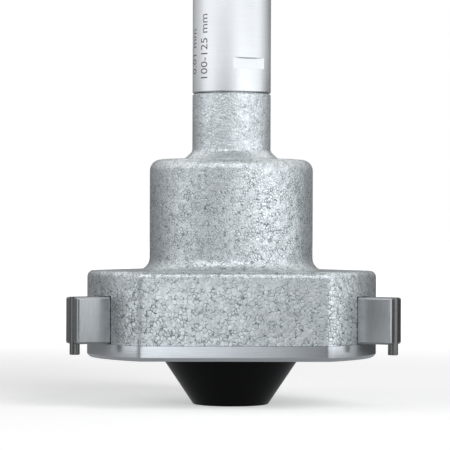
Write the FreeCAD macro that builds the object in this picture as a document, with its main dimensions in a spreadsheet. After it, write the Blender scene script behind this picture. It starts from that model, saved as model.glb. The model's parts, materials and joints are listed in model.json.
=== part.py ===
"""Three-point bore micrometer for bores of 100 to 125 mm, as a parametric document.

Lengths are in millimetres and angles in degrees. The origin is the centre of the nose's foot, +Z
runs up the instrument and -Y is its front. Everything is drawn at the smallest reading: the cone is
raised, the anvils are drawn in and the thimble stands at the top of its travel.
"""
import FreeCAD, Part
import math
import os
import re
import Sketcher
from FreeCAD import Placement, Rotation, Vector

# Driving dimensions: alias, value and what it measures
SIZES = [
    # fits and clearances
    ("fit_gap", 0.01, "radial play between pieces that are pressed or screwed together"),
    ("running_gap", 0.05, "radial play of a piece that slides or turns on another"),
    ("slide_gap", 0.15, "play above and below an anvil in its window"),
    ("window_gap", 0.2, "play at each side of an anvil in its window"),
    ("cone_gap", 0.1, "level play between the cone and the anvils' inner faces"),
    ("seam", 0.2, "dark line between the neck and the sleeve"),
    ("cut_spare", 1.0, "how far a cut's outline runs past the metal that it cuts"),
    # travel
    ("travel", 12.5, "stroke of the cone, and of each anvil, from 100 to 125 mm"),
    # nose cap
    ("nose_height", 13.3, "foot of the nose to the base plate"),
    ("nose_foot_radius", 10.3, "flat foot that the instrument stands on"),
    ("nose_top_radius", 19.2, "nose at the base plate"),
    ("nose_wall", 2.5, "wall of the nose, measured level"),
    ("nose_floor", 1.8, "floor of the nose"),
    ("nose_chamfer", 0.5, "chamfer at the foot's edge"),
    ("spigot_radius", 18.0, "register of the nose in the base plate"),
    ("spigot_height", 2.0, "depth of that register"),
    # base plate and casting
    ("plate_thick", 4.2, "base plate"),
    ("plate_chamfer", 0.9, "chamfer round the plate's lower edge"),
    ("plate_bore_gap", 0.65, "play of the plate's bore round the lowered cone"),
    ("base_radius", 40.0, "round lobes of the base, where the anvils come out"),
    ("flat_distance", 31.0, "axis to each of the base's three flats"),
    ("corner_round", 4.0, "upright corners between flats and lobes"),
    ("base_height", 19.35, "casting's base, above the plate"),
    ("base_edge_round", 1.7, "round along the base's upper edge"),
    ("barrel_radius", 22.4, "barrel above the base"),
    ("barrel_height", 30.2, "barrel, base to shoulder"),
    ("barrel_foot_round", 3.3, "hollow round where the barrel meets the base"),
    ("barrel_edge_round", 3.0, "round along the barrel's shoulder"),
    ("roof_thick", 4.05, "metal above the cone's chamber"),
    ("neck_radius", 10.75, "neck above the barrel"),
    ("neck_height", 18.05, "neck, shoulder to seam"),
    ("flare", 2.3, "45-degree flare at the neck's foot"),
    ("neck_chamfer", 0.35, "chamfer along the neck's upper edge"),
    # base plate screws
    ("screw_radius", 1.5, "plate screw's shank"),
    ("screw_head_radius", 2.8, "plate screw's countersunk head"),
    ("screw_reach", 9.0, "shank in the casting"),
    ("screw_spare", 0.2, "hole beyond the end of the shank"),
    ("screw_circle", 25.5, "axis to each plate screw"),
    # anvils, contact pins and return springs
    ("contact_radius", 50.0, "axis to the contact line: half the smallest bore"),
    ("pin_radius", 1.35, "contact pin"),
    ("pin_proud", 0.4, "contact pin beyond the anvil's end face"),
    ("pin_drop", 2.85, "contact pin below the anvil"),
    ("anvil_width", 7.0, "anvil, side to side"),
    ("anvil_height", 12.4, "anvil, bottom to top"),
    ("anvil_inner", 3.0, "axis to the anvil's lowest inner edge"),
    ("anvil_chamfer", 0.45, "chamfer along the anvil's long edges"),
    ("anvil_corner_round", 0.6, "upright corners at the anvil's end"),
    ("groove_width", 3.6, "spring groove under the anvil"),
    ("groove_depth", 3.8, "depth of that groove"),
    ("groove_start", 14.0, "axis to the groove's inner end"),
    ("groove_end_gap", 0.45, "play between post and groove end"),
    ("post_radius", 1.25, "spring post in the base plate"),
    ("post_inset", 3.5, "edge of the base to the middle of each spring post"),
    ("post_seat", 3.0, "post sunk in the plate"),
    ("post_top_gap", 0.3, "play between post and groove roof"),
    ("spring_coil_radius", 1.35, "middle of the return spring's coil"),
    ("spring_wire", 0.5, "side of the return spring's square wire"),
    ("spring_turns", 6, "turns of a return spring"),
    # measuring cone, guide rod, thrust pad and ring
    ("cone_tip_radius", 2.0, "flat tip of the cone"),
    ("cone_radius", 19.0, "cone's guide skirt"),
    ("skirt_height", 20.0, "length of the guide skirt"),
    ("pocket_radius", 9.0, "pocket in the cone for the spindle's collar"),
    ("ring_thick", 2.0, "retaining ring"),
    ("ring_bore_gap", 0.6, "play of the spindle in the retaining ring"),
    ("pad_radius", 5.0, "thrust pad in the cone"),
    ("pad_thick", 2.0, "thrust pad"),
    ("rod_radius", 1.5, "guide rod"),
    ("rod_circle", 13.0, "axis to the guide rod"),
    ("rod_seat", 3.0, "guide rod sunk in the chamber's roof"),
    ("rod_engage", 7.0, "rod left in the cone when it is lowered"),
    # stem tube, sleeve and nuts
    ("stem_spigot_radius", 8.0, "stem tube in the neck"),
    ("stem_spigot_depth", 15.1, "depth of that seat"),
    ("stem_radius", 8.8, "stem tube inside the sleeve"),
    ("sleeve_radius", 10.75, "sleeve"),
    ("sleeve_shown", 64.7, "sleeve between the seam and the thimble"),
    ("sleeve_hidden", 16.0, "sleeve inside the thimble"),
    ("sleeve_chamfer", 0.35, "chamfer along the sleeve's lower edge"),
    ("spanner_flats", 19.0, "across the sleeve's two flats"),
    ("spanner_rise", 7.1, "seam to the flats' lower edge"),
    ("spanner_height", 2.5, "height of the flats"),
    ("spanner_angle", 300.0, "direction that one of the flats faces"),
    ("wrench_hole_radius", 0.9, "hole for the hook wrench that sets zero"),
    ("wrench_hole_drop", 16.0, "hook wrench hole below the thimble"),
    ("bore_gap", 1.2, "play of the spindle in the neck and the stem"),
    ("nut_radius", 7.2, "spindle nut"),
    ("nut_length", 23.0, "spindle nut"),
    ("nut_drop", 1.0, "spindle nut below the stem's end"),
    ("adjuster_radius", 10.2, "adjusting nut"),
    ("adjuster_height", 5.8, "adjusting nut"),
    # spindle and thimble
    ("spindle_radius", 4.0, "plain spindle"),
    ("thread_radius", 4.5, "spindle's measuring thread"),
    ("thread_spare", 2.0, "thread below the nut at rest"),
    ("collar_radius", 7.0, "spindle's collar in the cone"),
    ("collar_thick", 2.2, "that collar"),
    ("shoulder_radius", 7.0, "spindle's shoulder under the thimble's web"),
    ("shoulder_height", 4.0, "that shoulder"),
    ("end_room", 1.0, "stem to shoulder when the spindle is right down"),
    ("thimble_radius", 13.0, "thimble"),
    ("thimble_bore_gap", 0.15, "play of the thimble round the sleeve"),
    ("thimble_lip", 0.2, "thimble's thin lower edge"),
    ("bevel_height", 5.0, "graduated bevel at the thimble's lower edge"),
    ("web_thick", 3.5, "web at the thimble's top"),
    ("thimble_chamfer", 0.8, "chamfer along the thimble's upper edge"),
    ("band_height", 20.0, "thimble's upper edge to the groove under its grip"),
    ("band_groove", 1.0, "width of that groove"),
    ("band_depth", 0.5, "depth of that groove"),
    ("thimble_nut_radius", 9.0, "nut that clamps the thimble"),
    ("thimble_nut_height", 4.0, "that nut"),
    # ratchet stop
    ("stub_radius", 3.0, "spindle's end in the ratchet driver"),
    ("stub_height", 3.0, "that end"),
    ("driver_radius", 6.5, "toothed driver"),
    ("driver_height", 6.0, "toothed driver, with its teeth"),
    ("tooth_depth", 0.8, "ratchet teeth"),
    ("tooth_width", 1.5, "ratchet teeth, measured level"),
    ("tooth_count", 12, "ratchet teeth"),
    ("crown_inner_radius", 4.0, "inside of the toothed rims"),
    ("tooth_play", 0.15, "height between the two toothed rims"),
    ("knob_radius", 9.0, "ratchet knob"),
    ("knob_foot_gap", 0.6, "thimble nut to knob"),
    ("knob_bore_gap", 0.3, "play of the driver in the knob"),
    ("knob_web", 2.6, "knob's web above its teeth"),
    ("knob_top", 6.5, "knob above its web"),
    ("knob_chamfer", 0.7, "chamfer along the knob's edges"),
    ("cap_pocket_radius", 5.2, "pocket in the knob's top"),
    ("ratchet_screw_radius", 1.5, "ratchet screw's shank"),
    ("ratchet_screw_reach", 10.0, "screw in the spindle"),
    ("ratchet_screw_head", 4.6, "radius of the screw's head"),
    ("ratchet_head_height", 3.0, "that head"),
    ("slot_width", 0.9, "screwdriver slot"),
    ("slot_depth", 1.0, "screwdriver slot"),
    ("ratchet_coil_radius", 3.2, "middle of the ratchet spring's coil"),
    ("ratchet_wire", 0.7, "side of the ratchet spring's square wire"),
    ("ratchet_turns", 3, "turns of the ratchet spring"),
    ("ratchet_spring_length", 4.8, "ratchet spring under its screw's head"),
]
NAMES = [name for name, _, _ in SIZES]

# The three measuring directions, one third of a turn apart from the rear one, which lies along +Y
SIDES = ("rear", "left", "right")

# Heights, from the nose's foot upwards
PLATE_TOP = "(nose_height + plate_thick)"
BASE_TOP = f"({PLATE_TOP} + base_height)"
BARREL_TOP = f"({BASE_TOP} + barrel_height)"
NECK_TOP = f"({BARREL_TOP} + neck_height)"
CHAMBER_ROOF = f"({BARREL_TOP} - roof_thick)"
ANVIL_BOTTOM = f"({PLATE_TOP} + slide_gap)"
ANVIL_TOP = f"({ANVIL_BOTTOM} + anvil_height)"
GROOVE_ROOF = f"({ANVIL_BOTTOM} + groove_depth)"
CONE_TIP = f"({ANVIL_BOTTOM} - anvil_inner + cone_gap + cone_tip_radius)"
SKIRT_FOOT = f"({CONE_TIP} + cone_radius - cone_tip_radius)"
CONE_TOP = f"({SKIRT_FOOT} + skirt_height)"
COLLAR_TOP = f"({CONE_TOP} - ring_thick - running_gap)"
SPINDLE_FOOT = f"({COLLAR_TOP} - collar_thick)"
POCKET_FLOOR = f"({SPINDLE_FOOT} - pad_thick)"
STEM_FOOT = f"({NECK_TOP} - stem_spigot_depth)"
SLEEVE_FOOT = f"({NECK_TOP} + seam)"
THIMBLE_FOOT = f"({SLEEVE_FOOT} + sleeve_shown)"
SLEEVE_TOP = f"({THIMBLE_FOOT} + sleeve_hidden)"
STEM_TOP = f"({SLEEVE_TOP} + adjuster_height + seam)"
NUT_TOP = f"({STEM_TOP} - nut_drop)"
NUT_BOTTOM = f"({NUT_TOP} - nut_length)"
SHOULDER_FOOT = f"({STEM_TOP} + end_room + travel)"
WEB_BOTTOM = f"({SHOULDER_FOOT} + shoulder_height)"
THIMBLE_TOP = f"({WEB_BOTTOM} + web_thick)"
DRIVER_FOOT = f"({THIMBLE_TOP} + thimble_nut_height)"
DRIVER_TOP = f"({DRIVER_FOOT} + driver_height)"
STUB_TOP = f"({DRIVER_FOOT} + stub_height)"
KNOB_FOOT = f"({DRIVER_FOOT} + knob_foot_gap)"
CROWN_FOOT = f"({DRIVER_TOP} + tooth_play)"
KNOB_WEB_FOOT = f"({CROWN_FOOT} + tooth_depth)"
KNOB_WEB_TOP = f"({KNOB_WEB_FOOT} + knob_web)"
KNOB_TOP = f"({KNOB_WEB_TOP} + knob_top)"
SCREW_HEAD_FOOT = f"({KNOB_WEB_TOP} + ratchet_spring_length)"
SCREW_TOP = f"({SCREW_HEAD_FOOT} + ratchet_head_height)"

# Radii and reaches that pieces share
CHAMBER_RADIUS = "(cone_radius + running_gap)"
PLATE_BORE = "(anvil_inner - slide_gap + travel + plate_bore_gap)"
SPINDLE_BORE = "(spindle_radius + bore_gap)"
ANVIL_END = "(contact_radius - pin_proud)"
PIN_CIRCLE = "(contact_radius - pin_radius)"
POST_CIRCLE = "(base_radius - post_inset)"
CROWN_RADIUS = "driver_radius"

# How closely an edge's place is compared, the straight runs in a turn of a coil, and a whole turn
NEAR = 1e-4
COIL_RUNS = 8
FULL_TURN = 360

doc = FreeCAD.newDocument("BoreMicrometer")
sheet = doc.addObject("Spreadsheet::Sheet", "Sizes")
pieces = []


def fill_sheet():
    """Writes each driving dimension with its alias and its meaning."""
    for row, (name, number, meaning) in enumerate(SIZES, 1):
        sheet.set(f"A{row}", name)
        sheet.set(f"B{row}", str(number))
        sheet.setAlias(f"B{row}", name)
        sheet.set(f"C{row}", meaning)
    doc.recompute()


def linked(text):
    """The expression with each alias written as a reference to the sheet."""
    return re.sub(r"[a-z_]+", lambda word: "Sizes." + word[0] if word[0] in NAMES else word[0], text)


def value(text):
    """What an expression comes to now."""
    return float(sheet.evalExpression(linked(text)))


def new_body(label):
    """An empty body that is exported under its label."""
    body = doc.addObject("PartDesign::Body", label)
    body.Label = label
    pieces.append(body)
    return body


def origin_feature(body, role):
    """The body's own origin plane or axis of that role."""
    return next(item for item in body.Origin.OriginFeatures if item.Role == role)


def new_sketch(body, name, role, shift=None, spin=None):
    """A sketch on one of the body's origin planes, shifted along its own axes and spun on its own."""
    sketch = body.newObject("Sketcher::SketchObject", name)
    sketch.AttachmentSupport = [(origin_feature(body, role), "")]
    sketch.MapMode = "FlatFace"
    for axis, text in (shift or {}).items():
        sketch.setExpression(f"AttachmentOffset.Base.{axis}", linked(text))
    if spin:
        sketch.AttachmentOffset = Placement(Vector(), Rotation(Vector(0, 0, 1), value(spin)))
        sketch.setExpression("AttachmentOffset.Rotation.Angle", linked(spin))
    return sketch


def hold(sketch, geometry, point, across, up):
    """Ties a point of the sketch to its place, measured from the sketch's origin."""
    for text, kind, axis in ((across, "DistanceX", -2), (up, "DistanceY", -1)):
        if text == "0":
            sketch.addConstraint(Sketcher.Constraint("PointOnObject", geometry, point, axis))
        else:
            rule = Sketcher.Constraint(kind, -1, 1, geometry, point, value(text))
            sketch.setExpression(f"Constraints[{sketch.addConstraint(rule)}]", linked(text))


def add_outline(sketch, corners):
    """Draws a closed outline of straight edges through the corners."""
    spots = [Vector(value(across), value(up), 0) for across, up in corners]
    first = sketch.GeometryCount
    count = len(spots)
    for index in range(count):
        sketch.addGeometry(Part.LineSegment(spots[index], spots[(index + 1) % count]), False)
    for index, (across, up) in enumerate(corners):
        after = first + (index + 1) % count
        sketch.addConstraint(Sketcher.Constraint("Coincident", first + index, 2, after, 1))
        hold(sketch, first + index, 1, across, up)


def add_circle(sketch, across, up, radius):
    """Draws a circle with its centre at a place."""
    centre = Vector(value(across), value(up), 0)
    number = sketch.addGeometry(Part.Circle(centre, Vector(0, 0, 1), value(radius)), False)
    rule = Sketcher.Constraint("Radius", number, value(radius))
    sketch.setExpression(f"Constraints[{sketch.addConstraint(rule)}]", linked(radius))
    hold(sketch, number, 3, across, up)


def feature_from(body, kind, name, sketch):
    """A feature of the body that works on a sketch."""
    feature = body.newObject("PartDesign::" + kind, name)
    feature.Profile = sketch
    sketch.Visibility = False
    return feature


def turned(label, corners):
    """A body turned about Z from half its section, whose corners are radius and height."""
    body = new_body(label)
    sketch = new_sketch(body, label + "_section", "XZ_Plane")
    add_outline(sketch, corners)
    feature = feature_from(body, "Revolution", label + "_turned", sketch)
    feature.ReferenceAxis = (sketch, ["V_Axis"])
    feature.Angle = FULL_TURN
    doc.recompute()
    return body


def pad(body, name, sketch, length, taper=0, symmetric=False):
    """Raises a sketch by a length."""
    feature = feature_from(body, "Pad", name, sketch)
    feature.setExpression("Length", linked(length))
    feature.TaperAngle = taper
    feature.SideType = "Symmetric" if symmetric else "One side"
    doc.recompute()
    return feature


def pocket(body, name, sketch, length=None, reverse=False):
    """Cuts a sketch out of the body, against its normal, to a length or right through."""
    before = body.Shape.Volume
    feature = feature_from(body, "Pocket", name, sketch)
    feature.Reversed = reverse
    if length:
        feature.setExpression("Length", linked(length))
    else:
        feature.Type = "ThroughAll"
    doc.recompute()
    if feature.Shape.Volume > before - NEAR:
        raise RuntimeError(f"{name} cuts nothing")
    return feature


def around(body, name, features, count):
    """Repeats features evenly round Z."""
    pattern = body.newObject("PartDesign::PolarPattern", name)
    pattern.Originals = features
    pattern.Axis = (origin_feature(body, "Z_Axis"), [""])
    pattern.Angle = FULL_TURN
    pattern.setExpression("Occurrences", linked(str(count)))
    body.Tip = pattern
    doc.recompute()
    return pattern


def dressed(body, kind, name, size, wanted):
    """Rounds or chamfers the edges for which a test holds."""
    base = body.Tip
    edges = [f"Edge{number}" for number, edge in enumerate(base.Shape.Edges, 1) if wanted(edge)]
    if not edges:
        raise RuntimeError(f"{name} finds no edge")
    feature = body.newObject("PartDesign::" + kind, name)
    feature.Base = (base, edges)
    feature.setExpression("Radius" if kind == "Fillet" else "Size", linked(size))
    doc.recompute()
    return feature


def ring(radius, height):
    """A test for the circular edge of that radius at that height."""

    def test(edge):
        curve = edge.Curve
        if not isinstance(curve, Part.Circle):
            return False
        return abs(curve.Radius - value(radius)) < NEAR and abs(curve.Center.z - value(height)) < NEAR

    return test


def level(height, beyond):
    """A test for level edges at that height that lie wholly further from Z than a radius."""

    def test(edge):
        box = edge.BoundBox
        reach = min(point.Point.x ** 2 + point.Point.y ** 2 for point in edge.Vertexes) ** 0.5
        at_height = abs(box.ZMin - value(height)) < NEAR and abs(box.ZMax - value(height)) < NEAR
        return at_height and reach > value(beyond) + NEAR

    return test


def upright(beyond):
    """A test for upright straight edges further from Z than a radius."""

    def test(edge):
        box = edge.BoundBox
        foot = edge.Vertexes[0].Point
        straight = box.XLength < NEAR and box.YLength < NEAR
        return straight and (foot.x ** 2 + foot.y ** 2) ** 0.5 > value(beyond) + NEAR

    return test


def cut_flats(body, label):
    """Cuts the base outline's three flats and rounds the corners they leave."""
    sketch = new_sketch(body, label + "_flat", "XY_Plane")
    near, far, side = "-flat_distance", "-(base_radius + cut_spare)", "base_radius"
    add_outline(sketch, [("-" + side, far), (side, far), (side, near), ("-" + side, near)])
    cut = pocket(body, label + "_flat_cut", sketch, reverse=True)
    around(body, label + "_flats", [cut], len(SIDES))
    dressed(body, "Fillet", label + "_corners", "corner_round", upright("flat_distance"))


def screw_holes(body, label, foot, depth):
    """Holes for the plate screws, upwards from a height."""
    sketch = new_sketch(body, label + "_screw_circle", "XY_Plane", {"z": foot})
    add_circle(sketch, "0", "-screw_circle", "screw_radius + fit_gap")
    cut = pocket(body, label + "_screw_cut", sketch, depth, reverse=True)
    around(body, label + "_screw_holes", [cut], len(SIDES))


def make_head_housing():
    """The casting: wide base with anvil windows, barrel over the cone, flare and neck."""
    body = turned("head_housing", [
        (CHAMBER_RADIUS, PLATE_TOP),
        ("base_radius", PLATE_TOP),
        ("base_radius", BASE_TOP),
        ("barrel_radius", BASE_TOP),
        ("barrel_radius", BARREL_TOP),
        ("neck_radius + flare", BARREL_TOP),
        ("neck_radius", f"{BARREL_TOP} + flare"),
        ("neck_radius", NECK_TOP),
        ("stem_spigot_radius + fit_gap", NECK_TOP),
        ("stem_spigot_radius + fit_gap", STEM_FOOT),
        (SPINDLE_BORE, STEM_FOOT),
        (SPINDLE_BORE, CHAMBER_ROOF),
        (CHAMBER_RADIUS, CHAMBER_ROOF),
    ])
    cut_flats(body, "housing")
    dressed(body, "Fillet", "barrel_foot", "barrel_foot_round", ring("barrel_radius", BASE_TOP))
    dressed(body, "Fillet", "barrel_shoulder", "barrel_edge_round", ring("barrel_radius", BARREL_TOP))
    dressed(body, "Chamfer", "neck_rim", "neck_chamfer", ring("neck_radius", NECK_TOP))
    rim = level(BASE_TOP, "barrel_radius + barrel_foot_round")
    dressed(body, "Fillet", "base_rim", "base_edge_round", rim)
    window = new_sketch(body, "anvil_window", "XZ_Plane")
    half = "(anvil_width / 2 + window_gap)"
    roof = f"{ANVIL_TOP} + slide_gap"
    add_outline(window, [("-" + half, PLATE_TOP), (half, PLATE_TOP), (half, roof), ("-" + half, roof)])
    cut = pocket(body, "anvil_window_cut", window)
    around(body, "anvil_windows", [cut], len(SIDES))
    screw_holes(body, "housing", PLATE_TOP, "screw_reach + screw_spare")
    rod = new_sketch(body, "guide_rod_seat", "XY_Plane", {"z": CHAMBER_ROOF})
    add_circle(rod, "0", "-rod_circle", "rod_radius + fit_gap")
    pocket(body, "guide_rod_bore", rod, "rod_seat", reverse=True)


def make_base_plate():
    """The plate that closes the base, bored for the cone and counterbored for the nose."""
    body = turned("base_plate", [
        (PLATE_BORE, "nose_height + spigot_height + fit_gap"),
        ("spigot_radius + fit_gap", "nose_height + spigot_height + fit_gap"),
        ("spigot_radius + fit_gap", "nose_height"),
        ("base_radius", "nose_height"),
        ("base_radius", PLATE_TOP),
        (PLATE_BORE, PLATE_TOP),
    ])
    cut_flats(body, "plate")
    rim = level("nose_height", "nose_top_radius")
    dressed(body, "Chamfer", "plate_rim", "plate_chamfer", rim)
    screw_holes(body, "plate", "nose_height", "plate_thick")
    sink = ring("screw_radius + fit_gap", "nose_height")
    dressed(body, "Chamfer", "screw_countersinks", "screw_head_radius - screw_radius", sink)
    posts = new_sketch(body, "post_seat_circle", "XY_Plane", {"z": f"{PLATE_TOP} - post_seat"})
    add_circle(posts, "0", POST_CIRCLE, "post_radius + fit_gap")
    cut = pocket(body, "post_seat_bore", posts, "post_seat", reverse=True)
    around(body, "post_seats", [cut], len(SIDES))


def make_nose_cap():
    """The hollow tapered nose that the lowered cone dips into."""
    slope = "((nose_top_radius - nose_foot_radius) / nose_height)"
    body = turned("nose_cap", [
        ("0", "0"),
        ("nose_foot_radius", "0"),
        ("nose_top_radius", "nose_height"),
        ("spigot_radius", "nose_height"),
        ("spigot_radius", "nose_height + spigot_height"),
        (PLATE_BORE, "nose_height + spigot_height"),
        (PLATE_BORE, "nose_height"),
        (f"nose_foot_radius + nose_floor * {slope} - nose_wall", "nose_floor"),
        ("0", "nose_floor"),
    ])
    dressed(body, "Chamfer", "nose_rim", "nose_chamfer", ring("nose_foot_radius", "0"))


def make_plate_screws():
    """Three countersunk screws, one behind the middle of each flat, as one group."""
    body = new_body("plate_screws")
    inner = new_sketch(body, "screw_shank_circle", "XY_Plane", {"z": "nose_height"})
    add_circle(inner, "0", "-screw_circle", "screw_radius")
    shank = pad(body, "screw_shank", inner, "plate_thick + screw_reach")
    outer = new_sketch(body, "screw_head_circle", "XY_Plane", {"z": "nose_height"})
    add_circle(outer, "0", "-screw_circle", "screw_head_radius")
    head = pad(body, "screw_head", outer, "screw_head_radius - screw_radius", taper=-45)
    around(body, "screw_set", [shank, head], len(SIDES))


def make_spring_posts():
    """Three posts in the plate that the return springs push against, as one group."""
    body = new_body("spring_posts")
    sketch = new_sketch(body, "post_section", "XY_Plane", {"z": f"{PLATE_TOP} - post_seat"})
    add_circle(sketch, "0", POST_CIRCLE, "post_radius")
    post = pad(body, "post", sketch, "post_seat + slide_gap + groove_depth - post_top_gap")
    around(body, "posts", [post], len(SIDES))


def facing(side):
    """The turn about Z that takes a piece from the rear direction to its own."""
    return Placement(Vector(), Rotation(Vector(0, 0, 1), FULL_TURN * SIDES.index(side) / len(SIDES)))


def make_anvil(side):
    """A square bar with a 45-degree inner face, a spring groove below and a bore for its pin."""
    body = new_body("anvil_" + side)
    blank = new_sketch(body, side + "_bar", "YZ_Plane")
    add_outline(blank, [
        ("anvil_inner", ANVIL_BOTTOM),
        (ANVIL_END, ANVIL_BOTTOM),
        (ANVIL_END, ANVIL_TOP),
        ("anvil_inner + anvil_height", ANVIL_TOP),
    ])
    pad(body, side + "_blank", blank, "anvil_width", symmetric=True)
    dressed(body, "Fillet", side + "_corners", "anvil_corner_round", upright(ANVIL_END))

    def outer_edge(edge):
        beyond_slope = edge.BoundBox.YMax > value("anvil_inner + anvil_height") + NEAR
        return beyond_slope and (level(ANVIL_BOTTOM, "0")(edge) or level(ANVIL_TOP, "0")(edge))

    dressed(body, "Chamfer", side + "_edges", "anvil_chamfer", outer_edge)
    groove = new_sketch(body, side + "_groove_outline", "XY_Plane", {"z": ANVIL_BOTTOM})
    far = f"{POST_CIRCLE} + post_radius + groove_end_gap"
    half = "groove_width / 2"
    add_outline(groove, [
        ("-" + half, "groove_start"),
        (half, "groove_start"),
        (half, far),
        ("-" + half, far),
    ])
    pocket(body, side + "_groove", groove, "groove_depth", reverse=True)
    bore = new_sketch(body, side + "_pin_circle", "XY_Plane")
    add_circle(bore, "0", PIN_CIRCLE, "pin_radius + fit_gap")
    pocket(body, side + "_pin_bore", bore, reverse=True)
    body.Placement = facing(side)


def make_contact_pin(side):
    """The hard pin that touches the bore, standing in the anvil's end."""
    body = new_body("contact_pin_" + side)
    sketch = new_sketch(body, side + "_pin_section", "XY_Plane", {"z": f"{ANVIL_BOTTOM} - pin_drop"})
    add_circle(sketch, "0", PIN_CIRCLE, "pin_radius")
    pad(body, side + "_pin", sketch, "pin_drop + anvil_height")
    body.Placement = facing(side)


def make_coil(label, middle, wire, turns, length, place):
    """A coil of square wire along Z, drawn with straight runs, then put in its place."""
    half = value(wire) / 2
    runs = round(value(turns) * COIL_RUNS)
    rise = (value(length) - value(wire)) / runs
    spots = []
    for step in range(runs + 1):
        turn = 2 * math.pi * step / COIL_RUNS
        across, up = value(middle) * math.cos(turn), value(middle) * math.sin(turn)
        spots.append(Vector(across, up, half + step * rise))
    corners = [(-half, -half), (half, -half), (half, half), (-half, half), (-half, -half)]
    section = Part.makePolygon([spots[0] + Vector(out, 0, along) for out, along in corners])
    coil = doc.addObject("Part::Feature", label)
    coil.Shape = Part.makePolygon(spots).makePipeShell([section], True, False, 1)
    coil.Placement = place
    pieces.append(coil)


def make_return_spring(side):
    """The spring between the end of the anvil's groove and its post."""
    length = f"{POST_CIRCLE} - post_radius - groove_start - 2 * running_gap"
    outward = Rotation(Vector(0, 0, 1), Vector(0, 1, 0))
    start = Vector(0, value("groove_start + running_gap"), value(f"({ANVIL_BOTTOM} + {GROOVE_ROOF}) / 2"))
    place = facing(side).multiply(Placement(start, outward))
    make_coil("return_spring_" + side, "spring_coil_radius", "spring_wire", "spring_turns", length, place)


def make_measuring_cone():
    """The 45-degree cone with its guide skirt, collar pocket and guide bore."""
    body = turned("measuring_cone", [
        ("0", CONE_TIP),
        ("cone_tip_radius", CONE_TIP),
        ("cone_radius", SKIRT_FOOT),
        ("cone_radius", CONE_TOP),
        ("pocket_radius", CONE_TOP),
        ("pocket_radius", POCKET_FLOOR),
        ("0", POCKET_FLOOR),
    ])
    rod = new_sketch(body, "guide_bore_circle", "XY_Plane", {"z": CONE_TOP})
    add_circle(rod, "0", "-rod_circle", "rod_radius + running_gap")
    pocket(body, "guide_bore", rod)


def make_guide_rod():
    """The rod in the chamber's roof that keeps the cone from turning."""
    foot = f"({CONE_TOP} - travel - rod_engage)"
    rod = doc.addObject("Part::Cylinder", "guide_rod")
    rod.setExpression("Radius", linked("rod_radius"))
    rod.setExpression("Height", linked(f"{CHAMBER_ROOF} + rod_seat - {foot}"))
    rod.setExpression("Placement.Base.y", linked("-rod_circle"))
    rod.setExpression("Placement.Base.z", linked(foot))
    pieces.append(rod)


def make_thrust_pad():
    """The hard disc on the pocket's floor that the spindle pushes the cone with."""
    disc = doc.addObject("Part::Cylinder", "thrust_pad")
    disc.setExpression("Radius", linked("pad_radius"))
    disc.setExpression("Height", linked("pad_thick - running_gap"))
    disc.setExpression("Placement.Base.z", linked(POCKET_FLOOR))
    pieces.append(disc)


def make_retaining_ring():
    """The ring screwed into the cone's pocket, over the spindle's collar."""
    bore, foot = "spindle_radius + ring_bore_gap", f"{CONE_TOP} - ring_thick"
    rim = "pocket_radius - fit_gap"
    turned("retaining_ring", [(bore, foot), (rim, foot), (rim, CONE_TOP), (bore, CONE_TOP)])


def make_stem_tube():
    """The tube in the neck that carries the sleeve and the spindle nut."""
    nut_bore = "nut_radius + fit_gap"
    turned("stem_tube", [
        (SPINDLE_BORE, STEM_FOOT),
        ("stem_spigot_radius", STEM_FOOT),
        ("stem_spigot_radius", NECK_TOP),
        ("stem_radius", NECK_TOP),
        ("stem_radius", STEM_TOP),
        (nut_bore, STEM_TOP),
        (nut_bore, NUT_BOTTOM),
        (SPINDLE_BORE, NUT_BOTTOM),
    ])


def make_sleeve():
    """The scale sleeve, with a pair of flats for a spanner and a hook wrench hole at the back."""
    bore = "stem_radius + running_gap"
    body = turned("sleeve", [
        (bore, SLEEVE_FOOT),
        ("sleeve_radius", SLEEVE_FOOT),
        ("sleeve_radius", SLEEVE_TOP),
        (bore, SLEEVE_TOP),
    ])
    dressed(body, "Chamfer", "sleeve_rim", "sleeve_chamfer", ring("sleeve_radius", SLEEVE_FOOT))
    foot = f"{SLEEVE_FOOT} + spanner_rise"
    flats = new_sketch(body, "spanner_outline", "XY_Plane", {"z": foot}, "spanner_angle")
    near, far, side = "(spanner_flats / 2)", "(sleeve_radius + cut_spare)", "sleeve_radius"
    for inner, outer in ((near, far), ("-" + far, "-" + near)):
        add_outline(flats, [(inner, "-" + side), (outer, "-" + side), (outer, side), (inner, side)])
    pocket(body, "spanner_flat_pair", flats, "spanner_height", reverse=True)
    hole = new_sketch(body, "wrench_hole_circle", "XZ_Plane")
    add_circle(hole, "0", f"{THIMBLE_FOOT} - wrench_hole_drop", "wrench_hole_radius")
    pocket(body, "wrench_hole", hole)


def make_nuts():
    """The spindle nut in the stem, and the adjusting nut round the stem's slit end."""
    bore, rim = "thread_radius + running_gap", "nut_radius"
    turned("spindle_nut", [(bore, NUT_BOTTOM), (rim, NUT_BOTTOM), (rim, NUT_TOP), (bore, NUT_TOP)])
    bore, rim, foot = "stem_radius + fit_gap", "adjuster_radius", f"{STEM_TOP} - adjuster_height"
    turned("adjusting_nut", [(bore, foot), (rim, foot), (rim, STEM_TOP), (bore, STEM_TOP)])


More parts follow.
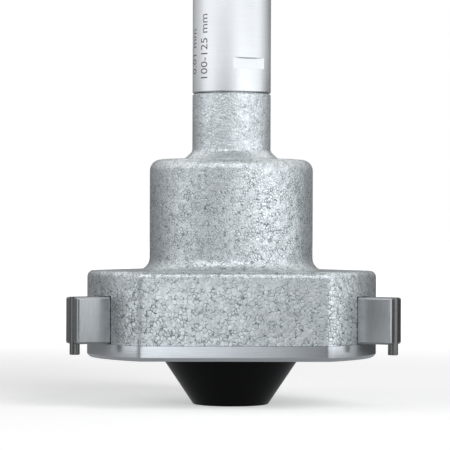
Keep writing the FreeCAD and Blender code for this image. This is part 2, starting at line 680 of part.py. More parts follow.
def make_spindle():
    """The spindle: collar, plain shaft, measuring thread, shoulder, stub and tapped end."""
    turned("spindle", [
        ("0", SPINDLE_FOOT),
        ("collar_radius", SPINDLE_FOOT),
        ("collar_radius", COLLAR_TOP),
        ("spindle_radius", COLLAR_TOP),
        ("spindle_radius", f"{NUT_BOTTOM} - thread_spare"),
        ("thread_radius", f"{NUT_BOTTOM} - thread_spare"),
        ("thread_radius", SHOULDER_FOOT),
        ("shoulder_radius", SHOULDER_FOOT),
        ("shoulder_radius", WEB_BOTTOM),
        ("spindle_radius", WEB_BOTTOM),
        ("spindle_radius", DRIVER_FOOT),
        ("stub_radius", DRIVER_FOOT),
        ("stub_radius", STUB_TOP),
        ("ratchet_screw_radius + fit_gap", STUB_TOP),
        ("ratchet_screw_radius + fit_gap", f"{STUB_TOP} - ratchet_screw_reach"),
        ("0", f"{STUB_TOP} - ratchet_screw_reach"),
    ])


def make_thimble():
    """The thimble: thin-lipped graduated bevel, grip band and web."""
    bore = "sleeve_radius + thimble_bore_gap"
    groove = f"({THIMBLE_TOP} - band_height)"
    turned("thimble", [
        (bore, THIMBLE_FOOT),
        (f"{bore} + thimble_lip", THIMBLE_FOOT),
        ("thimble_radius", f"{THIMBLE_FOOT} + bevel_height"),
        ("thimble_radius", groove),
        ("thimble_radius - band_depth", groove),
        ("thimble_radius - band_depth", f"{groove} + band_groove"),
        ("thimble_radius", f"{groove} + band_groove"),
        ("thimble_radius", f"{THIMBLE_TOP} - thimble_chamfer"),
        ("thimble_radius - thimble_chamfer", THIMBLE_TOP),
        ("spindle_radius + fit_gap", THIMBLE_TOP),
        ("spindle_radius + fit_gap", WEB_BOTTOM),
        (bore, WEB_BOTTOM),
    ])
    turned("thimble_nut", [
        ("spindle_radius + fit_gap", THIMBLE_TOP),
        ("thimble_nut_radius", THIMBLE_TOP),
        ("thimble_nut_radius", DRIVER_FOOT),
        ("spindle_radius + fit_gap", DRIVER_FOOT),
    ])


def cut_teeth(body, label, root, tip):
    """Saw teeth round a rim, each with one upright face, from the tips' height to the roots'."""
    sketch = new_sketch(body, label + "_notch", "XZ_Plane")
    add_outline(sketch, [("0", tip), ("tooth_width", tip), ("0", root)])
    notch = pocket(body, label + "_tooth", sketch, f"{CROWN_RADIUS} + running_gap")
    around(body, label + "_teeth", [notch], "tooth_count")


def make_ratchet_driver():
    """The driver on the spindle's stub, with a toothed rim on top."""
    bore, clear = "stub_radius + fit_gap", "ratchet_screw_radius + running_gap"
    body = turned("ratchet_driver", [
        (bore, DRIVER_FOOT),
        ("driver_radius", DRIVER_FOOT),
        (CROWN_RADIUS, DRIVER_TOP),
        ("crown_inner_radius", DRIVER_TOP),
        ("crown_inner_radius", f"{DRIVER_TOP} - tooth_depth"),
        (clear, f"{DRIVER_TOP} - tooth_depth"),
        (clear, f"{STUB_TOP} + fit_gap"),
        (bore, f"{STUB_TOP} + fit_gap"),
    ])
    cut_teeth(body, "driver", f"{DRIVER_TOP} - tooth_depth", DRIVER_TOP)


def make_ratchet_knob():
    """The grip over the driver, with a toothed rim inside and a pocket for spring and screw."""
    cavity, clear = "driver_radius + knob_bore_gap", "ratchet_screw_radius + running_gap"
    body = turned("ratchet_knob", [
        (cavity, KNOB_FOOT),
        ("knob_radius - knob_chamfer", KNOB_FOOT),
        ("knob_radius", f"{KNOB_FOOT} + knob_chamfer"),
        ("knob_radius", f"{KNOB_TOP} - knob_chamfer"),
        ("knob_radius - knob_chamfer", KNOB_TOP),
        ("cap_pocket_radius", KNOB_TOP),
        ("cap_pocket_radius", KNOB_WEB_TOP),
        (clear, KNOB_WEB_TOP),
        (clear, KNOB_WEB_FOOT),
        ("crown_inner_radius", KNOB_WEB_FOOT),
        ("crown_inner_radius", CROWN_FOOT),
        (CROWN_RADIUS, CROWN_FOOT),
        (CROWN_RADIUS, KNOB_WEB_FOOT),
        (cavity, KNOB_WEB_FOOT),
    ])
    cut_teeth(body, "knob", KNOB_WEB_FOOT, CROWN_FOOT)


def make_ratchet_screw():
    """The screw that holds knob and spring on the spindle."""
    body = turned("ratchet_screw", [
        ("0", f"{STUB_TOP} - ratchet_screw_reach"),
        ("ratchet_screw_radius", f"{STUB_TOP} - ratchet_screw_reach"),
        ("ratchet_screw_radius", SCREW_HEAD_FOOT),
        ("ratchet_screw_head", SCREW_HEAD_FOOT),
        ("ratchet_screw_head", SCREW_TOP),
        ("0", SCREW_TOP),
    ])
    slot = new_sketch(body, "slot_outline", "XY_Plane", {"z": SCREW_TOP})
    half, side = "slot_width / 2", "(ratchet_screw_head + cut_spare)"
    add_outline(slot, [("-" + side, "-" + half), (side, "-" + half), (side, half), ("-" + side, half)])
    pocket(body, "screwdriver_slot", slot, "slot_depth")


def make_ratchet_spring():
    """The spring that presses the knob's teeth on the driver's."""
    place = Placement(Vector(0, 0, value(f"{KNOB_WEB_TOP} + running_gap")), Rotation())
    length = "ratchet_spring_length - 2 * running_gap"
    make_coil("ratchet_spring", "ratchet_coil_radius", "ratchet_wire", "ratchet_turns", length, place)


def check_document():
    """Stops if any object failed or any sub-part has no sound shape."""
    for item in doc.Objects:
        if "Invalid" in item.State or "Error" in item.State:
            raise RuntimeError(f"{item.Label} failed: {item.State}")
    for piece in pieces:
        if piece.Shape.isNull() or not piece.Shape.isValid() or not piece.Shape.Solids:
            raise RuntimeError(f"{piece.Label} has no sound shape")


def main():
    """Builds the instrument and writes one file for each sub-part."""
    fill_sheet()
    make_head_housing()
    make_base_plate()
    make_nose_cap()
    make_plate_screws()
    make_spring_posts()
    for side in SIDES:
        make_anvil(side)
        make_contact_pin(side)
        make_return_spring(side)
    make_measuring_cone()
    make_guide_rod()
    make_thrust_pad()
    make_retaining_ring()
    make_stem_tube()
    make_sleeve()
    make_nuts()
    make_spindle()
    make_thimble()
    make_ratchet_driver()
    make_ratchet_knob()
    make_ratchet_spring()
    make_ratchet_screw()
    doc.recompute()
    check_document()
    os.makedirs("parts", exist_ok=True)
    for piece in pieces:
        piece.Shape.exportStep(f"parts/{piece.Label}.step")


main()
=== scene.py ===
"""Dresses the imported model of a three-point bore micrometer and sets it in a pale studio.

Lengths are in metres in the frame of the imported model: the origin is the middle of the nose's flat
foot, +Z runs up the instrument and -Y is its front.
"""
import json
import math

import bmesh
import bpy
from bpy.props import FloatProperty, FloatVectorProperty, IntProperty, PointerProperty, StringProperty
from mathutils import Euler, Matrix, Vector


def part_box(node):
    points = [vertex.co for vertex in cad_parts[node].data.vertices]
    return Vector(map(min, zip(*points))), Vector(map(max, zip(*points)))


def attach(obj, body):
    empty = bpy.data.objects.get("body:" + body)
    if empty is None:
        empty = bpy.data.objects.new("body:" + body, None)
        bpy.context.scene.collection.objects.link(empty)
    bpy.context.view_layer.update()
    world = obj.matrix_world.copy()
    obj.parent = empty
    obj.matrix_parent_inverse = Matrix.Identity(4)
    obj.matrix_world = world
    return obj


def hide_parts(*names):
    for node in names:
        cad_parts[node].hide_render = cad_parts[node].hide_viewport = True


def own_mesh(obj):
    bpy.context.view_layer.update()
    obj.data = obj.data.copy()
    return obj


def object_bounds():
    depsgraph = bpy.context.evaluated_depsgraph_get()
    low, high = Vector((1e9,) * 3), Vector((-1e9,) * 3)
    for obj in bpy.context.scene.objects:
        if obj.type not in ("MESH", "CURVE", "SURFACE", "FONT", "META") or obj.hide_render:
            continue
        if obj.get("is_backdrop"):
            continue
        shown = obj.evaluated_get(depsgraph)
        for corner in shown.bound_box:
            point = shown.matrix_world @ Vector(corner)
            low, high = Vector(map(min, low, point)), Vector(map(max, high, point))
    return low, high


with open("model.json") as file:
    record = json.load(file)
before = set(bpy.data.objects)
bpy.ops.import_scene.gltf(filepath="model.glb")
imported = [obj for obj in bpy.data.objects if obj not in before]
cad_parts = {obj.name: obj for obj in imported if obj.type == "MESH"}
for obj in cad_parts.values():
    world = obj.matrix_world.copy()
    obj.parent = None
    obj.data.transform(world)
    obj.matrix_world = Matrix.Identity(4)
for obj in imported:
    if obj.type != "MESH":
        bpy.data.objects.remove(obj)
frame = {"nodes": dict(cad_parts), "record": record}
CAD_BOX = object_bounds()

bl_info = {
    "name": "Bore Micrometer",
    "version": (1, 0, 0),
    "blender": (4, 5, 0),
    "location": "3D View > Sidebar > Bore Micrometer",
    "description": "Builds a three-point bore micrometer and its studio piece by piece",
    "category": "Add Mesh",
}

MM = 0.001
TURN = 2 * math.pi
FRONT = math.radians(270)
SIDES = {"rear": 0, "left": TURN / 3, "right": 2 * TURN / 3}
UP = Vector((0, 0, 1))

# Where a Mix node keeps its two colours among its inputs, and their mixture among its outputs
MIX_FIRST_COLOUR, MIX_SECOND_COLOUR, MIX_COLOUR = 6, 7, 2

# Points closer than this are one point
SAME_SPOT = 1e-7

# The finish that each material slot shows
SLOT_FINISHES = {
    "ground_steel": "Ground steel",
    "satin_chrome": "Satin chrome",
    "bronze": "Bronze",
    "ground_anvil": "Ground anvil",
    "carbide": "Carbide",
    "spring_steel": "Spring steel",
    "hammertone_paint": "Hammertone paint",
    "brushed_plate": "Ground plate",
    "black_plastic": "Black plastic",
    "dark_screws": "Dark screws",
}

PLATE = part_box("base_plate")
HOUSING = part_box("head_housing")
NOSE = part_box("nose_cap")
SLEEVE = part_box("sleeve")
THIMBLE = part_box("thimble")
CLAMP_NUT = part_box("thimble_nut")
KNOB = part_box("ratchet_knob")
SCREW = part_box("ratchet_screw")
REAR_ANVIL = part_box("anvil_rear")
REAR_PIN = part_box("contact_pin_rear")
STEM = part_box("stem_tube")
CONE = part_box("measuring_cone")


def length(name, default, description):
    """A length that the sidebar shows."""
    return FloatProperty(name=name, description=description, default=default, unit="LENGTH", precision=5)


def colour(name, default, description):
    """A colour that the sidebar shows."""
    return FloatVectorProperty(
        name=name, description=description, default=default, size=4, min=0, max=1, subtype="COLOR")


class MICROMETER_PG_head(bpy.types.PropertyGroup):
    """Sizes of the painted head, its plate, nose and anvils."""

    base_radius: length("Base radius", 40 * MM, "Axis to the rounded lobes of the base")
    flat_distance: length("Flat distance", 31 * MM, "Axis to each of the base's three flats")
    corner_round: length("Corner round", 4 * MM, "Upright corners between flats and lobes")
    base_height: length("Base height", 19.35 * MM, "Casting's base above the plate")
    edge_round: length("Edge round", 1.7 * MM, "Round along the base's upper edge")
    barrel_radius: length("Barrel radius", 22.4 * MM, "Barrel above the base")
    barrel_height: length("Barrel height", 30.2 * MM, "Base to the barrel's shoulder")
    foot_round: length("Foot round", 3.3 * MM, "Hollow round at the barrel's foot")
    shoulder_round: length("Shoulder round", 3 * MM, "Round along the barrel's shoulder")
    neck_radius: length("Neck radius", 10.75 * MM, "Neck above the barrel")
    flare: length("Flare", 2.3 * MM, "Conical flare at the neck's foot")
    rim: length("Rim", 0.35 * MM, "Chamfer along the neck's upper edge")
    window_width: length("Window width", 7.4 * MM, "Opening for each anvil")
    window_roof: length("Window roof", 30.2 * MM, "Height of the openings' roofs")
    plate_chamfer: length("Plate chamfer", 0.9 * MM, "Chamfer round the plate's lower edge")
    screw_circle: length("Screw circle", 25.5 * MM, "Axis to each plate screw")
    screw_head: length("Screw head", 2.8 * MM, "Radius of the plate screws' heads")
    screw_shank: length("Screw shank", 1.5 * MM, "Radius of the plate screws' shanks")
    nose_foot: length("Nose foot", 10.3 * MM, "Radius of the nose's foot")
    nose_top: length("Nose top", 19.2 * MM, "Radius of the nose at the plate")
    anvil_edge: length("Anvil edge", 0.6 * MM, "Soft edges of the anvils")
    pin_radius: length("Pin radius", 1.35 * MM, "Radius of the contact pins")


class MICROMETER_PG_grip(bpy.types.PropertyGroup):
    """Sizes of the sleeve, thimble and ratchet, and what they are marked with."""

    spanner_flats: length("Spanner flats", 19.3 * MM, "Across the sleeve's two flats")
    spanner_foot: length("Spanner flats' foot", 91.6 * MM, "Height of the flats' lower edge")
    spanner_height: length("Spanner flats' height", 3.0 * MM, "Height of the flats")
    range_text: StringProperty(name="Range", default="100-125 mm", description="Measuring range")
    step_text: StringProperty(name="Step", default="0.01 mm", description="Smallest step of the scale")
    text_height: length("Text height", 2.5 * MM, "Height of the figures on the sleeve")
    ridges: IntProperty(name="Ridges", description="Ridges round the thimble's grip", default=72, min=12)
    ridge_depth: length("Ridge depth", 0.25 * MM, "Depth of the grip's ridges")


class MICROMETER_PG_finish(bpy.types.PropertyGroup):
    """Colours of the finishes."""

    paint: colour("Paint", (0.88, 0.93, 0.955, 1), "Hammertone paint, light blobs")
    paint_vein: colour("Paint creases", (0.13, 0.17, 0.175, 1), "Hammertone paint, dark creases")
    chrome: colour("Chrome", (0.86, 0.88, 0.895, 1), "Satin chrome of sleeve and thimble")
    plate: colour("Plate", (0.82, 0.86, 0.89, 1), "Ground plate")
    steel: colour("Steel", (0.49, 0.51, 0.52, 1), "Ground anvils")
    carbide: colour("Carbide", (0.19, 0.19, 0.185, 1), "Contact pins")
    satin: colour("Satin steel", (0.64, 0.66, 0.675, 1), "Thimble and ratchet knob")
    plastic: colour("Plastic", (0.0016, 0.0018, 0.002, 1), "Black nose")
    ink: colour("Ink", (0.08, 0.085, 0.09, 1), "Figures and scales")


class MICROMETER_PG_studio(bpy.types.PropertyGroup):
    """Camera and light."""

    distance: length("Camera distance", 0.635, "Camera to the axis")
    eye: length("Eye height", 49.15 * MM, "Height of the camera")
    azimuth: FloatProperty(
        name="Azimuth", description="Camera's turn round Z", default=math.radians(-2), subtype="ANGLE")
    aside: length("Aside", 1.7 * MM, "Axis of the object right of the picture's middle")
    roll: FloatProperty(
        name="Roll", description="Camera's roll", default=math.radians(0.2), subtype="ANGLE")
    lens: FloatProperty(name="Lens", description="Focal length in millimetres", default=184.7)
    ambient: FloatProperty(name="Ambient", description="Light from all round", default=0.22)
    key: FloatProperty(name="Key", description="Brightness of the right softbox", default=4.2)
    fill: FloatProperty(name="Fill", description="Brightness of the left softbox", default=0.8)
    top: FloatProperty(name="Top", description="Brightness of the softbox high in front", default=0.2)


def head():
    """The head's sizes."""
    return bpy.context.scene.micrometer_head


def grip():
    """The grip's sizes."""
    return bpy.context.scene.micrometer_grip


def finish():
    """The finishes' colours."""
    return bpy.context.scene.micrometer_finish


# Shapes


def arc(radius, height, size, start, end, steps):
    """Points of (radius, height) along an arc round a centre, from one angle in degrees to another."""
    for step in range(steps + 1):
        angle = math.radians(start + (end - start) * step / steps)
        yield radius + size * math.cos(angle), height + size * math.sin(angle)


def spun(profile, steps=96):
    """A closed shape turned about Z from a profile of (radius, height) points."""
    shape = bmesh.new()
    closed = min(point[0] for point in profile) > 0
    spots = [shape.verts.new((radius, 0, height)) for radius, height in profile]
    after = spots[1:] + spots[:1] if closed else spots[1:]
    runs = [shape.edges.new(pair) for pair in zip(spots, after)]
    bmesh.ops.spin(
        shape, geom=spots + runs, axis=UP, cent=(0, 0, 0), dvec=(0, 0, 0), angle=TURN, steps=steps,
        use_merge=True)
    return closed_up(shape)


def rod(radius, low, high, steps):
    """An upright cylinder between two heights."""
    return spun([(0, low), (radius, low), (radius, high), (0, high)], steps)


def coil(radius, wire, turns, height):
    """A coil spring of round wire that stands on the origin along Z."""
    shape = bmesh.new()
    steps, sides = 24 * turns, 8
    upright = Matrix.Translation((radius, 0, wire / 2)) @ Matrix.Rotation(math.pi / 2, 4, "X")
    bmesh.ops.create_circle(shape, cap_ends=True, segments=sides, radius=wire / 2, matrix=upright)
    bmesh.ops.spin(
        shape, geom=shape.verts[:] + shape.edges[:] + shape.faces[:], axis=UP, cent=(0, 0, 0),
        dvec=(0, 0, (height - wire) / steps), angle=TURN * turns, steps=steps)
    bmesh.ops.holes_fill(shape, edges=shape.edges, sides=sides)
    return closed_up(shape)


def closed_up(shape):
    """The shape with its seams merged and its faces pointing outwards."""
    bmesh.ops.remove_doubles(shape, verts=shape.verts, dist=SAME_SPOT)
    bmesh.ops.recalc_face_normals(shape, faces=shape.faces)
    return shape


def block(low, high):
    """A box between two corners."""
    shape = bmesh.new()
    low, high = Vector(low), Vector(high)
    stretch = Matrix.Diagonal((*(high - low), 1))
    bmesh.ops.create_cube(shape, size=1, matrix=Matrix.Translation((low + high) / 2) @ stretch)
    return shape


def turned(shape, angle):
    """The shape turned about Z."""
    bmesh.ops.rotate(shape, verts=shape.verts, cent=(0, 0, 0), matrix=Matrix.Rotation(angle, 3, "Z"))
    return shape


def moved(shape, way):
    """The shape moved."""
    bmesh.ops.translate(shape, verts=shape.verts, vec=way)
    return shape


def placed(shape, matrix):
    """The shape moved and turned by a matrix."""
    bmesh.ops.transform(shape, matrix=matrix, verts=shape.verts)
    return shape


def as_object(name, shape):
    """An object at the origin that holds the shape."""
    mesh = bpy.data.meshes.new(name)
    shape.to_mesh(mesh)
    shape.free()
    piece = bpy.data.objects.new(name, mesh)
    bpy.context.scene.collection.objects.link(piece)
    return piece


def carved(shape, tools):
    """The shape with the tools' shapes cut out of it."""
    piece = as_object("carved", shape)
    for number, tool in enumerate(tools):
        cutter = as_object(f"cutter_{number}", tool)
        cut = piece.modifiers.new("cut", "BOOLEAN")
        cut.operation, cut.solver, cut.object = "DIFFERENCE", "EXACT", cutter
        graph = bpy.context.evaluated_depsgraph_get()
        mesh = bpy.data.meshes.new_from_object(piece.evaluated_get(graph))
        piece.modifiers.clear()
        bpy.data.objects.remove(cutter)
        piece.data = mesh
    result = bmesh.new()
    result.from_mesh(piece.data)
    bpy.data.objects.remove(piece)
    return result


def finished(name, shape, body, slot, *stands_for, look=None, sharp=32):
    """A finished piece: smooth but for its sharp edges, with its slot's finish or another, on its body."""
    piece = as_object(name, shape)
    piece.data.polygons.foreach_set("use_smooth", [True] * len(piece.data.polygons))
    piece.data.set_sharp_from_angle(angle=math.radians(sharp))
    shading = piece.modifiers.new("shading", "WEIGHTED_NORMAL")
    shading.mode, shading.weight, shading.keep_sharp = "FACE_AREA", 50, True
    piece.data.materials.append(material(look or SLOT_FINISHES[slot]))
    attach(piece, body)
    if stands_for:
        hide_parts(*stands_for)
    return piece


def ray(angle):
    """The level direction at an angle from +X."""
    return Vector((math.cos(angle), math.sin(angle), 0))


def plan_stations():
    """The base's plan as (place, outward normal) pairs: three flats, lobes and rounded corners."""
    sizes = head()
    flat, corner = sizes.flat_distance, sizes.corner_round
    core = flat - corner
    swing = math.acos(core / (sizes.base_radius - corner))
    half = core * math.tan(swing)
    first, second = Vector((core, half, 0)), Matrix.Rotation(TURN / 3, 3, "Z") @ Vector((core, -half, 0))
    flat_end = math.atan2(half, flat)
    flat_steps, corner_steps, lobe_steps = 26, 5, 14
    third = []
    for step in range(flat_steps):
        angle = -flat_end + 2 * flat_end * step / flat_steps
        third.append((Vector((flat, flat * math.tan(angle), 0)), ray(0)))
    for step in range(corner_steps):
        out = ray(swing * step / corner_steps)
        third.append((first + out * corner, out))
    for step in range(lobe_steps):
        out = ray(swing + (TURN / 3 - 2 * swing) * step / lobe_steps)
        third.append((out * sizes.base_radius, out))
    for step in range(corner_steps):
        out = ray(TURN / 3 - swing + swing * step / corner_steps)
        third.append((second + out * corner, out))
    stations = []
    for side in range(3):
        turn = Matrix.Rotation(FRONT + side * TURN / 3, 3, "Z")
        stations += [(turn @ place, turn @ out) for place, out in third]
    return stations


def ringed(rings):
    """A closed shape skinned over rings. A ring is ("plan", inset, height) or ("round", radius, height)."""
    stations = plan_stations()
    shape = bmesh.new()
    number = shape.verts.layers.int.new("station")

    def put(spot, ring):
        kind, size, height = ring
        place, out = stations[spot[number]]
        flat = place - out * size if kind == "plan" else place.normalized() * size
        spot.co = (flat.x, flat.y, height)

    first = bmesh.ops.create_circle(shape, segments=len(stations), radius=1)["verts"]
    for index, spot in enumerate(first):
        spot[number] = index
        put(spot, rings[0])
    loop = list(shape.edges)
    for ring in rings[1:] + rings[:1]:
        made = bmesh.ops.extrude_edge_only(shape, edges=loop)["geom"]
        fresh = {item for item in made if isinstance(item, bmesh.types.BMVert)}
        for spot in fresh:
            put(spot, ring)
        edges = (item for item in made if isinstance(item, bmesh.types.BMEdge))
        loop = [edge for edge in edges if fresh.issuperset(edge.verts)]
    return closed_up(shape)


def ridged(shape, steps, radius, low, high):
    """Presses every third column of a turned wall in, between two heights."""
    depth, wall = grip().ridge_depth, radius - 0.05 * MM
    for spot in shape.verts:
        away = spot.co.xy.length
        if away > wall and low < spot.co.z < high:
            if round(math.atan2(spot.co.y, spot.co.x) / TURN * steps) % 3 == 0:
                spot.co.xy *= (away - depth) / away


def wrapped(shape, radius_at, start):
    """A flat drawing, across and up in metres, laid round Z at an angle as a thin inlay."""
    lift = 0.01 * MM
    widths = [spot.co.x for spot in shape.verts]
    cut, step = min(widths), 0.5 * MM
    while cut < max(widths):
        geometry = shape.verts[:] + shape.edges[:] + shape.faces[:]
        bmesh.ops.bisect_plane(shape, geom=geometry, plane_co=(cut, 0, 0), plane_no=(1, 0, 0), dist=1e-8)
        cut += step
    for spot in shape.verts:
        radius = radius_at(spot.co.y)
        angle = start + spot.co.x / radius
        height = spot.co.y
        spot.co = ((radius + lift) * math.cos(angle), (radius + lift) * math.sin(angle), height)
    bmesh.ops.recalc_face_normals(shape, faces=shape.faces)
    outward = sum(face.normal.dot(face.calc_center_median()) for face in shape.faces)
    if outward < 0:
        bmesh.ops.reverse_faces(shape, faces=shape.faces)
    bmesh.ops.solidify(shape, geom=shape.faces[:], thickness=2 * lift)
    return shape


def lettering(words, size, turn, place):
    """Flat text as a shape, turned by an angle and moved to its place."""
    figure_share = 0.7
    curve = bpy.data.curves.new("lettering", "FONT")
    curve.body, curve.size, curve.align_y = words, size / figure_share, "CENTER"
    curve.resolution_u = 3
    writer = bpy.data.objects.new("lettering", curve)
    bpy.context.scene.collection.objects.link(writer)
    mesh = bpy.data.meshes.new_from_object(writer.evaluated_get(bpy.context.evaluated_depsgraph_get()))
    bpy.data.objects.remove(writer)
    shape = bmesh.new()
    shape.from_mesh(mesh)
    bmesh.ops.remove_doubles(shape, verts=shape.verts, dist=SAME_SPOT)
    return placed(shape, Matrix.Translation((*place, 0)) @ Matrix.Rotation(turn, 4, "Z"))


def strip(low, high):
    """A flat rectangle between two corners, across and up."""
    shape = bmesh.new()
    bmesh.ops.create_grid(shape, x_segments=1, y_segments=1, size=0.5)
    for spot in shape.verts:
        spot.co = (low[0] if spot.co.x < 0 else high[0], low[1] if spot.co.y < 0 else high[1], 0)
    return shape


def gathered(shapes):
    """Several shapes in one."""
    whole = bmesh.new()
    for shape in shapes:
        mesh = bpy.data.meshes.new("gathered")
        shape.to_mesh(mesh)
        shape.free()
        whole.from_mesh(mesh)
        bpy.data.meshes.remove(mesh)
    return whole


# Finishes


def shared_group(name, inputs, outputs):
    """A new node group, with what goes in as (label, kind, default) and the numbers that come out."""
    group = bpy.data.node_groups.new(name, "ShaderNodeTree")
    for label, kind, default in inputs:
        socket = group.interface.new_socket(label, in_out="INPUT", socket_type=kind)
        if default is not None:
            socket.default_value = default
    for label in outputs:
        group.interface.new_socket(label, in_out="OUTPUT", socket_type="NodeSocketFloat")
    return group, group.nodes.new("NodeGroupInput").outputs, group.nodes.new("NodeGroupOutput").inputs


def plug(tree, source, socket):
    """Links a socket to the one that feeds it, or gives it a plain value."""
    if isinstance(source, bpy.types.NodeSocket):
        tree.links.new(source, socket)
    else:
        socket.default_value = source


def node(tree, kind, *values, **named):
    """A node. The values feed its sockets in order, lower-case names are settings and the others sockets."""
    made = tree.nodes.new("ShaderNode" + kind)
    for label in filter(str.islower, named):
        setattr(made, label, named[label])
    for socket, value in zip(made.inputs, values):
        if value is not None:
            plug(tree, value, socket)
    for label, value in named.items():
        if not label.islower():
            plug(tree, value, made.inputs[label.replace("_", " ")])
    return made


def maths(tree, operation, *values):
    """What a Math node makes of its values."""
    return node(tree, "Math", *values, operation=operation).outputs[0]


def ramp(tree, source, start, end, low, high):
    """A smooth step from one value to another over a range of the source."""
    return node(tree, "MapRange", source, start, end, low, high, interpolation_type="SMOOTHSTEP").outputs[0]


def spread(tree, mask, low, high, start=0.3, end=0.7):
    """A mask taken from one range to another."""
    return node(tree, "MapRange", mask, start, end, low, high).outputs[0]


def mixed(tree, mask, first, second):
    """A colour between two, by a mask."""
    made = node(tree, "Mix", mask, data_type="RGBA")
    plug(tree, first, made.inputs[MIX_FIRST_COLOUR])
    plug(tree, second, made.inputs[MIX_SECOND_COLOUR])
    return made.outputs[MIX_COLOUR]


def shaded(rgba, share):
    """A colour with a share of its brightness."""
    return tuple(channel * share for channel in rgba[:3]) + (1,)


def hammer_group():
    """Hammertone: small domed blobs, each with its own tone, between thin broken dark creases."""
    group, given, result = shared_group(
        "Hammertone", [
            ("Vector", "NodeSocketVector", None),
            ("Scale", "NodeSocketFloat", 700),
            ("Crinkle", "NodeSocketFloat", 0.001),
        ], ("Creases", "Height", "Tone"))
    place, scale = given["Vector"], given["Scale"]
    own_share, broad_share = 0.3, 0.5
    crease_width, break_start, break_end, faintest = 0.13, 0.39, 0.63, 0.12
    grit_height, dome_height, crease_depth = 0.45, 0.8, 0.5
    wander = node(group, "TexNoise", Vector=place, Scale=700, Detail=3, Roughness=0.6).outputs["Color"]
    centred = node(group, "VectorMath", wander, (0.5, 0.5, 0.5), operation="SUBTRACT").outputs[0]
    pushed = node(group, "VectorMath", centred, operation="SCALE", Scale=given["Crinkle"]).outputs[0]
    bent = node(group, "VectorMath", place, pushed, operation="ADD").outputs[0]
    edges = node(group, "TexVoronoi", feature="DISTANCE_TO_EDGE", Vector=bent, Scale=scale).outputs
    cells = node(group, "TexVoronoi", feature="F1", Vector=bent, Scale=scale).outputs
    breaks = node(group, "TexNoise", Vector=place, Scale=620, Detail=2, Roughness=0.6).outputs["Fac"]
    fine = node(group, "TexNoise", Vector=place, Scale=2300, Detail=3, Roughness=0.7).outputs["Fac"]
    broad = node(group, "TexNoise", Vector=place, Scale=170, Detail=3).outputs["Fac"]
    thin = ramp(group, edges["Distance"], 0, crease_width, 1, 0)
    creases = maths(group, "MULTIPLY", thin, ramp(group, breaks, break_start, break_end, 1, faintest))
    own = node(group, "SeparateColor", cells["Color"]).outputs[0]
    speckled = maths(group, "MULTIPLY_ADD", own, own_share, fine)
    tone = maths(group, "MULTIPLY_ADD", broad, broad_share, speckled)
    domed = maths(group, "MULTIPLY_ADD", cells["Distance"], -dome_height, 1)
    gritty = maths(group, "MULTIPLY_ADD", fine, grit_height, domed)
    plug(group, creases, result["Creases"])
    plug(group, maths(group, "MULTIPLY_ADD", creases, -crease_depth, gritty), result["Height"])
    plug(group, tone, result["Tone"])


def grain_group():
    """Fine tool marks: noise drawn out along one direction by a stretched vector."""
    group, given, result = shared_group(
        "Tool marks", [("Vector", "NodeSocketVector", None), ("Stretch", "NodeSocketVector", (1, 1, 1))],
        ("Marks", "Smudge"))
    drawn = node(group, "VectorMath", given["Vector"], given["Stretch"], operation="MULTIPLY").outputs[0]
    fine = node(group, "TexNoise", Vector=drawn, Scale=1, Detail=5, Roughness=0.65)
    broad = node(group, "TexNoise", Vector=given["Vector"], Scale=90, Detail=3)
    plug(group, fine.outputs["Fac"], result["Marks"])
    plug(group, broad.outputs["Fac"], result["Smudge"])


def new_finish(name, **constants):
    """A material, its node tree and its shader's sockets, with the shader's own values set."""
    made = bpy.data.materials.new(name)
    made.use_nodes = True
    made.diffuse_color = (0.5, 0.5, 0.5, 1)
    shader = made.node_tree.nodes["Principled BSDF"].inputs
    for label, setting in constants.items():
        shader[label.replace("_", " ")].default_value = setting
    return made, made.node_tree, shader


def object_place(tree):
    """Where a point lies on the object, in metres."""
    return node(tree, "TexCoord").outputs["Object"]


def use_group(tree, name, **sources):
    """The outputs of a shared group placed in a material."""
    made = tree.nodes.new("ShaderNodeGroup")
    made.node_tree = bpy.data.node_groups[name]
    for label, source in sources.items():
        plug(tree, source, made.inputs[label])
    return made.outputs


def bumped(tree, shader, strength, depth, height):
    """Gives a shader a relief of some depth in metres."""
    bump = node(tree, "Bump", Strength=strength, Distance=depth, Height=height)
    plug(tree, bump.outputs["Normal"], shader["Normal"])


def hammertone_finish():
    """Silvery hammertone paint on the casting, finer on the barrel and neck than on the base."""
    colours = finish()
    made, tree, shader = new_finish("Hammertone paint", Metallic=0.8, Coat_Weight=0.1, Coat_Roughness=0.3)
    place = object_place(tree)
    coarse = use_group(tree, "Hammertone", Vector=place, Scale=950, Crinkle=0.0014)
    fine = use_group(tree, "Hammertone", Vector=place, Scale=1450, Crinkle=0.0011)
    base_low, base_high, neck_low, neck_high = 31 * MM, 37 * MM, 58 * MM, 68 * MM
    dark_tone, light_tone, dark_share, neck_share = 0.62, 1.18, 0.62, 0.6
    dark_roughness, light_roughness = 0.38, 0.28
    level = node(tree, "SeparateXYZ", place).outputs["Z"]
    above_base = ramp(tree, level, base_low, base_high, 0, 1)
    creases, height, tone = (
        node(tree, "Mix", above_base, None, coarse[label], fine[label]).outputs[0]
        for label in ("Creases", "Height", "Tone"))
    lightness = spread(tree, tone, 0, 1, dark_tone, light_tone)
    blobs = mixed(tree, lightness, shaded(colours.paint, dark_share), tuple(colours.paint))
    veins = maths(tree, "MULTIPLY", creases, ramp(tree, level, neck_low, neck_high, 1, neck_share))
    plug(tree, mixed(tree, veins, blobs, tuple(colours.paint_vein)), shader["Base Color"])
    rough = spread(tree, tone, dark_roughness, light_roughness, dark_tone, light_tone)
    plug(tree, rough, shader["Roughness"])
    bumped(tree, shader, strength=0.4, depth=0.2 * MM, height=height)
    return made


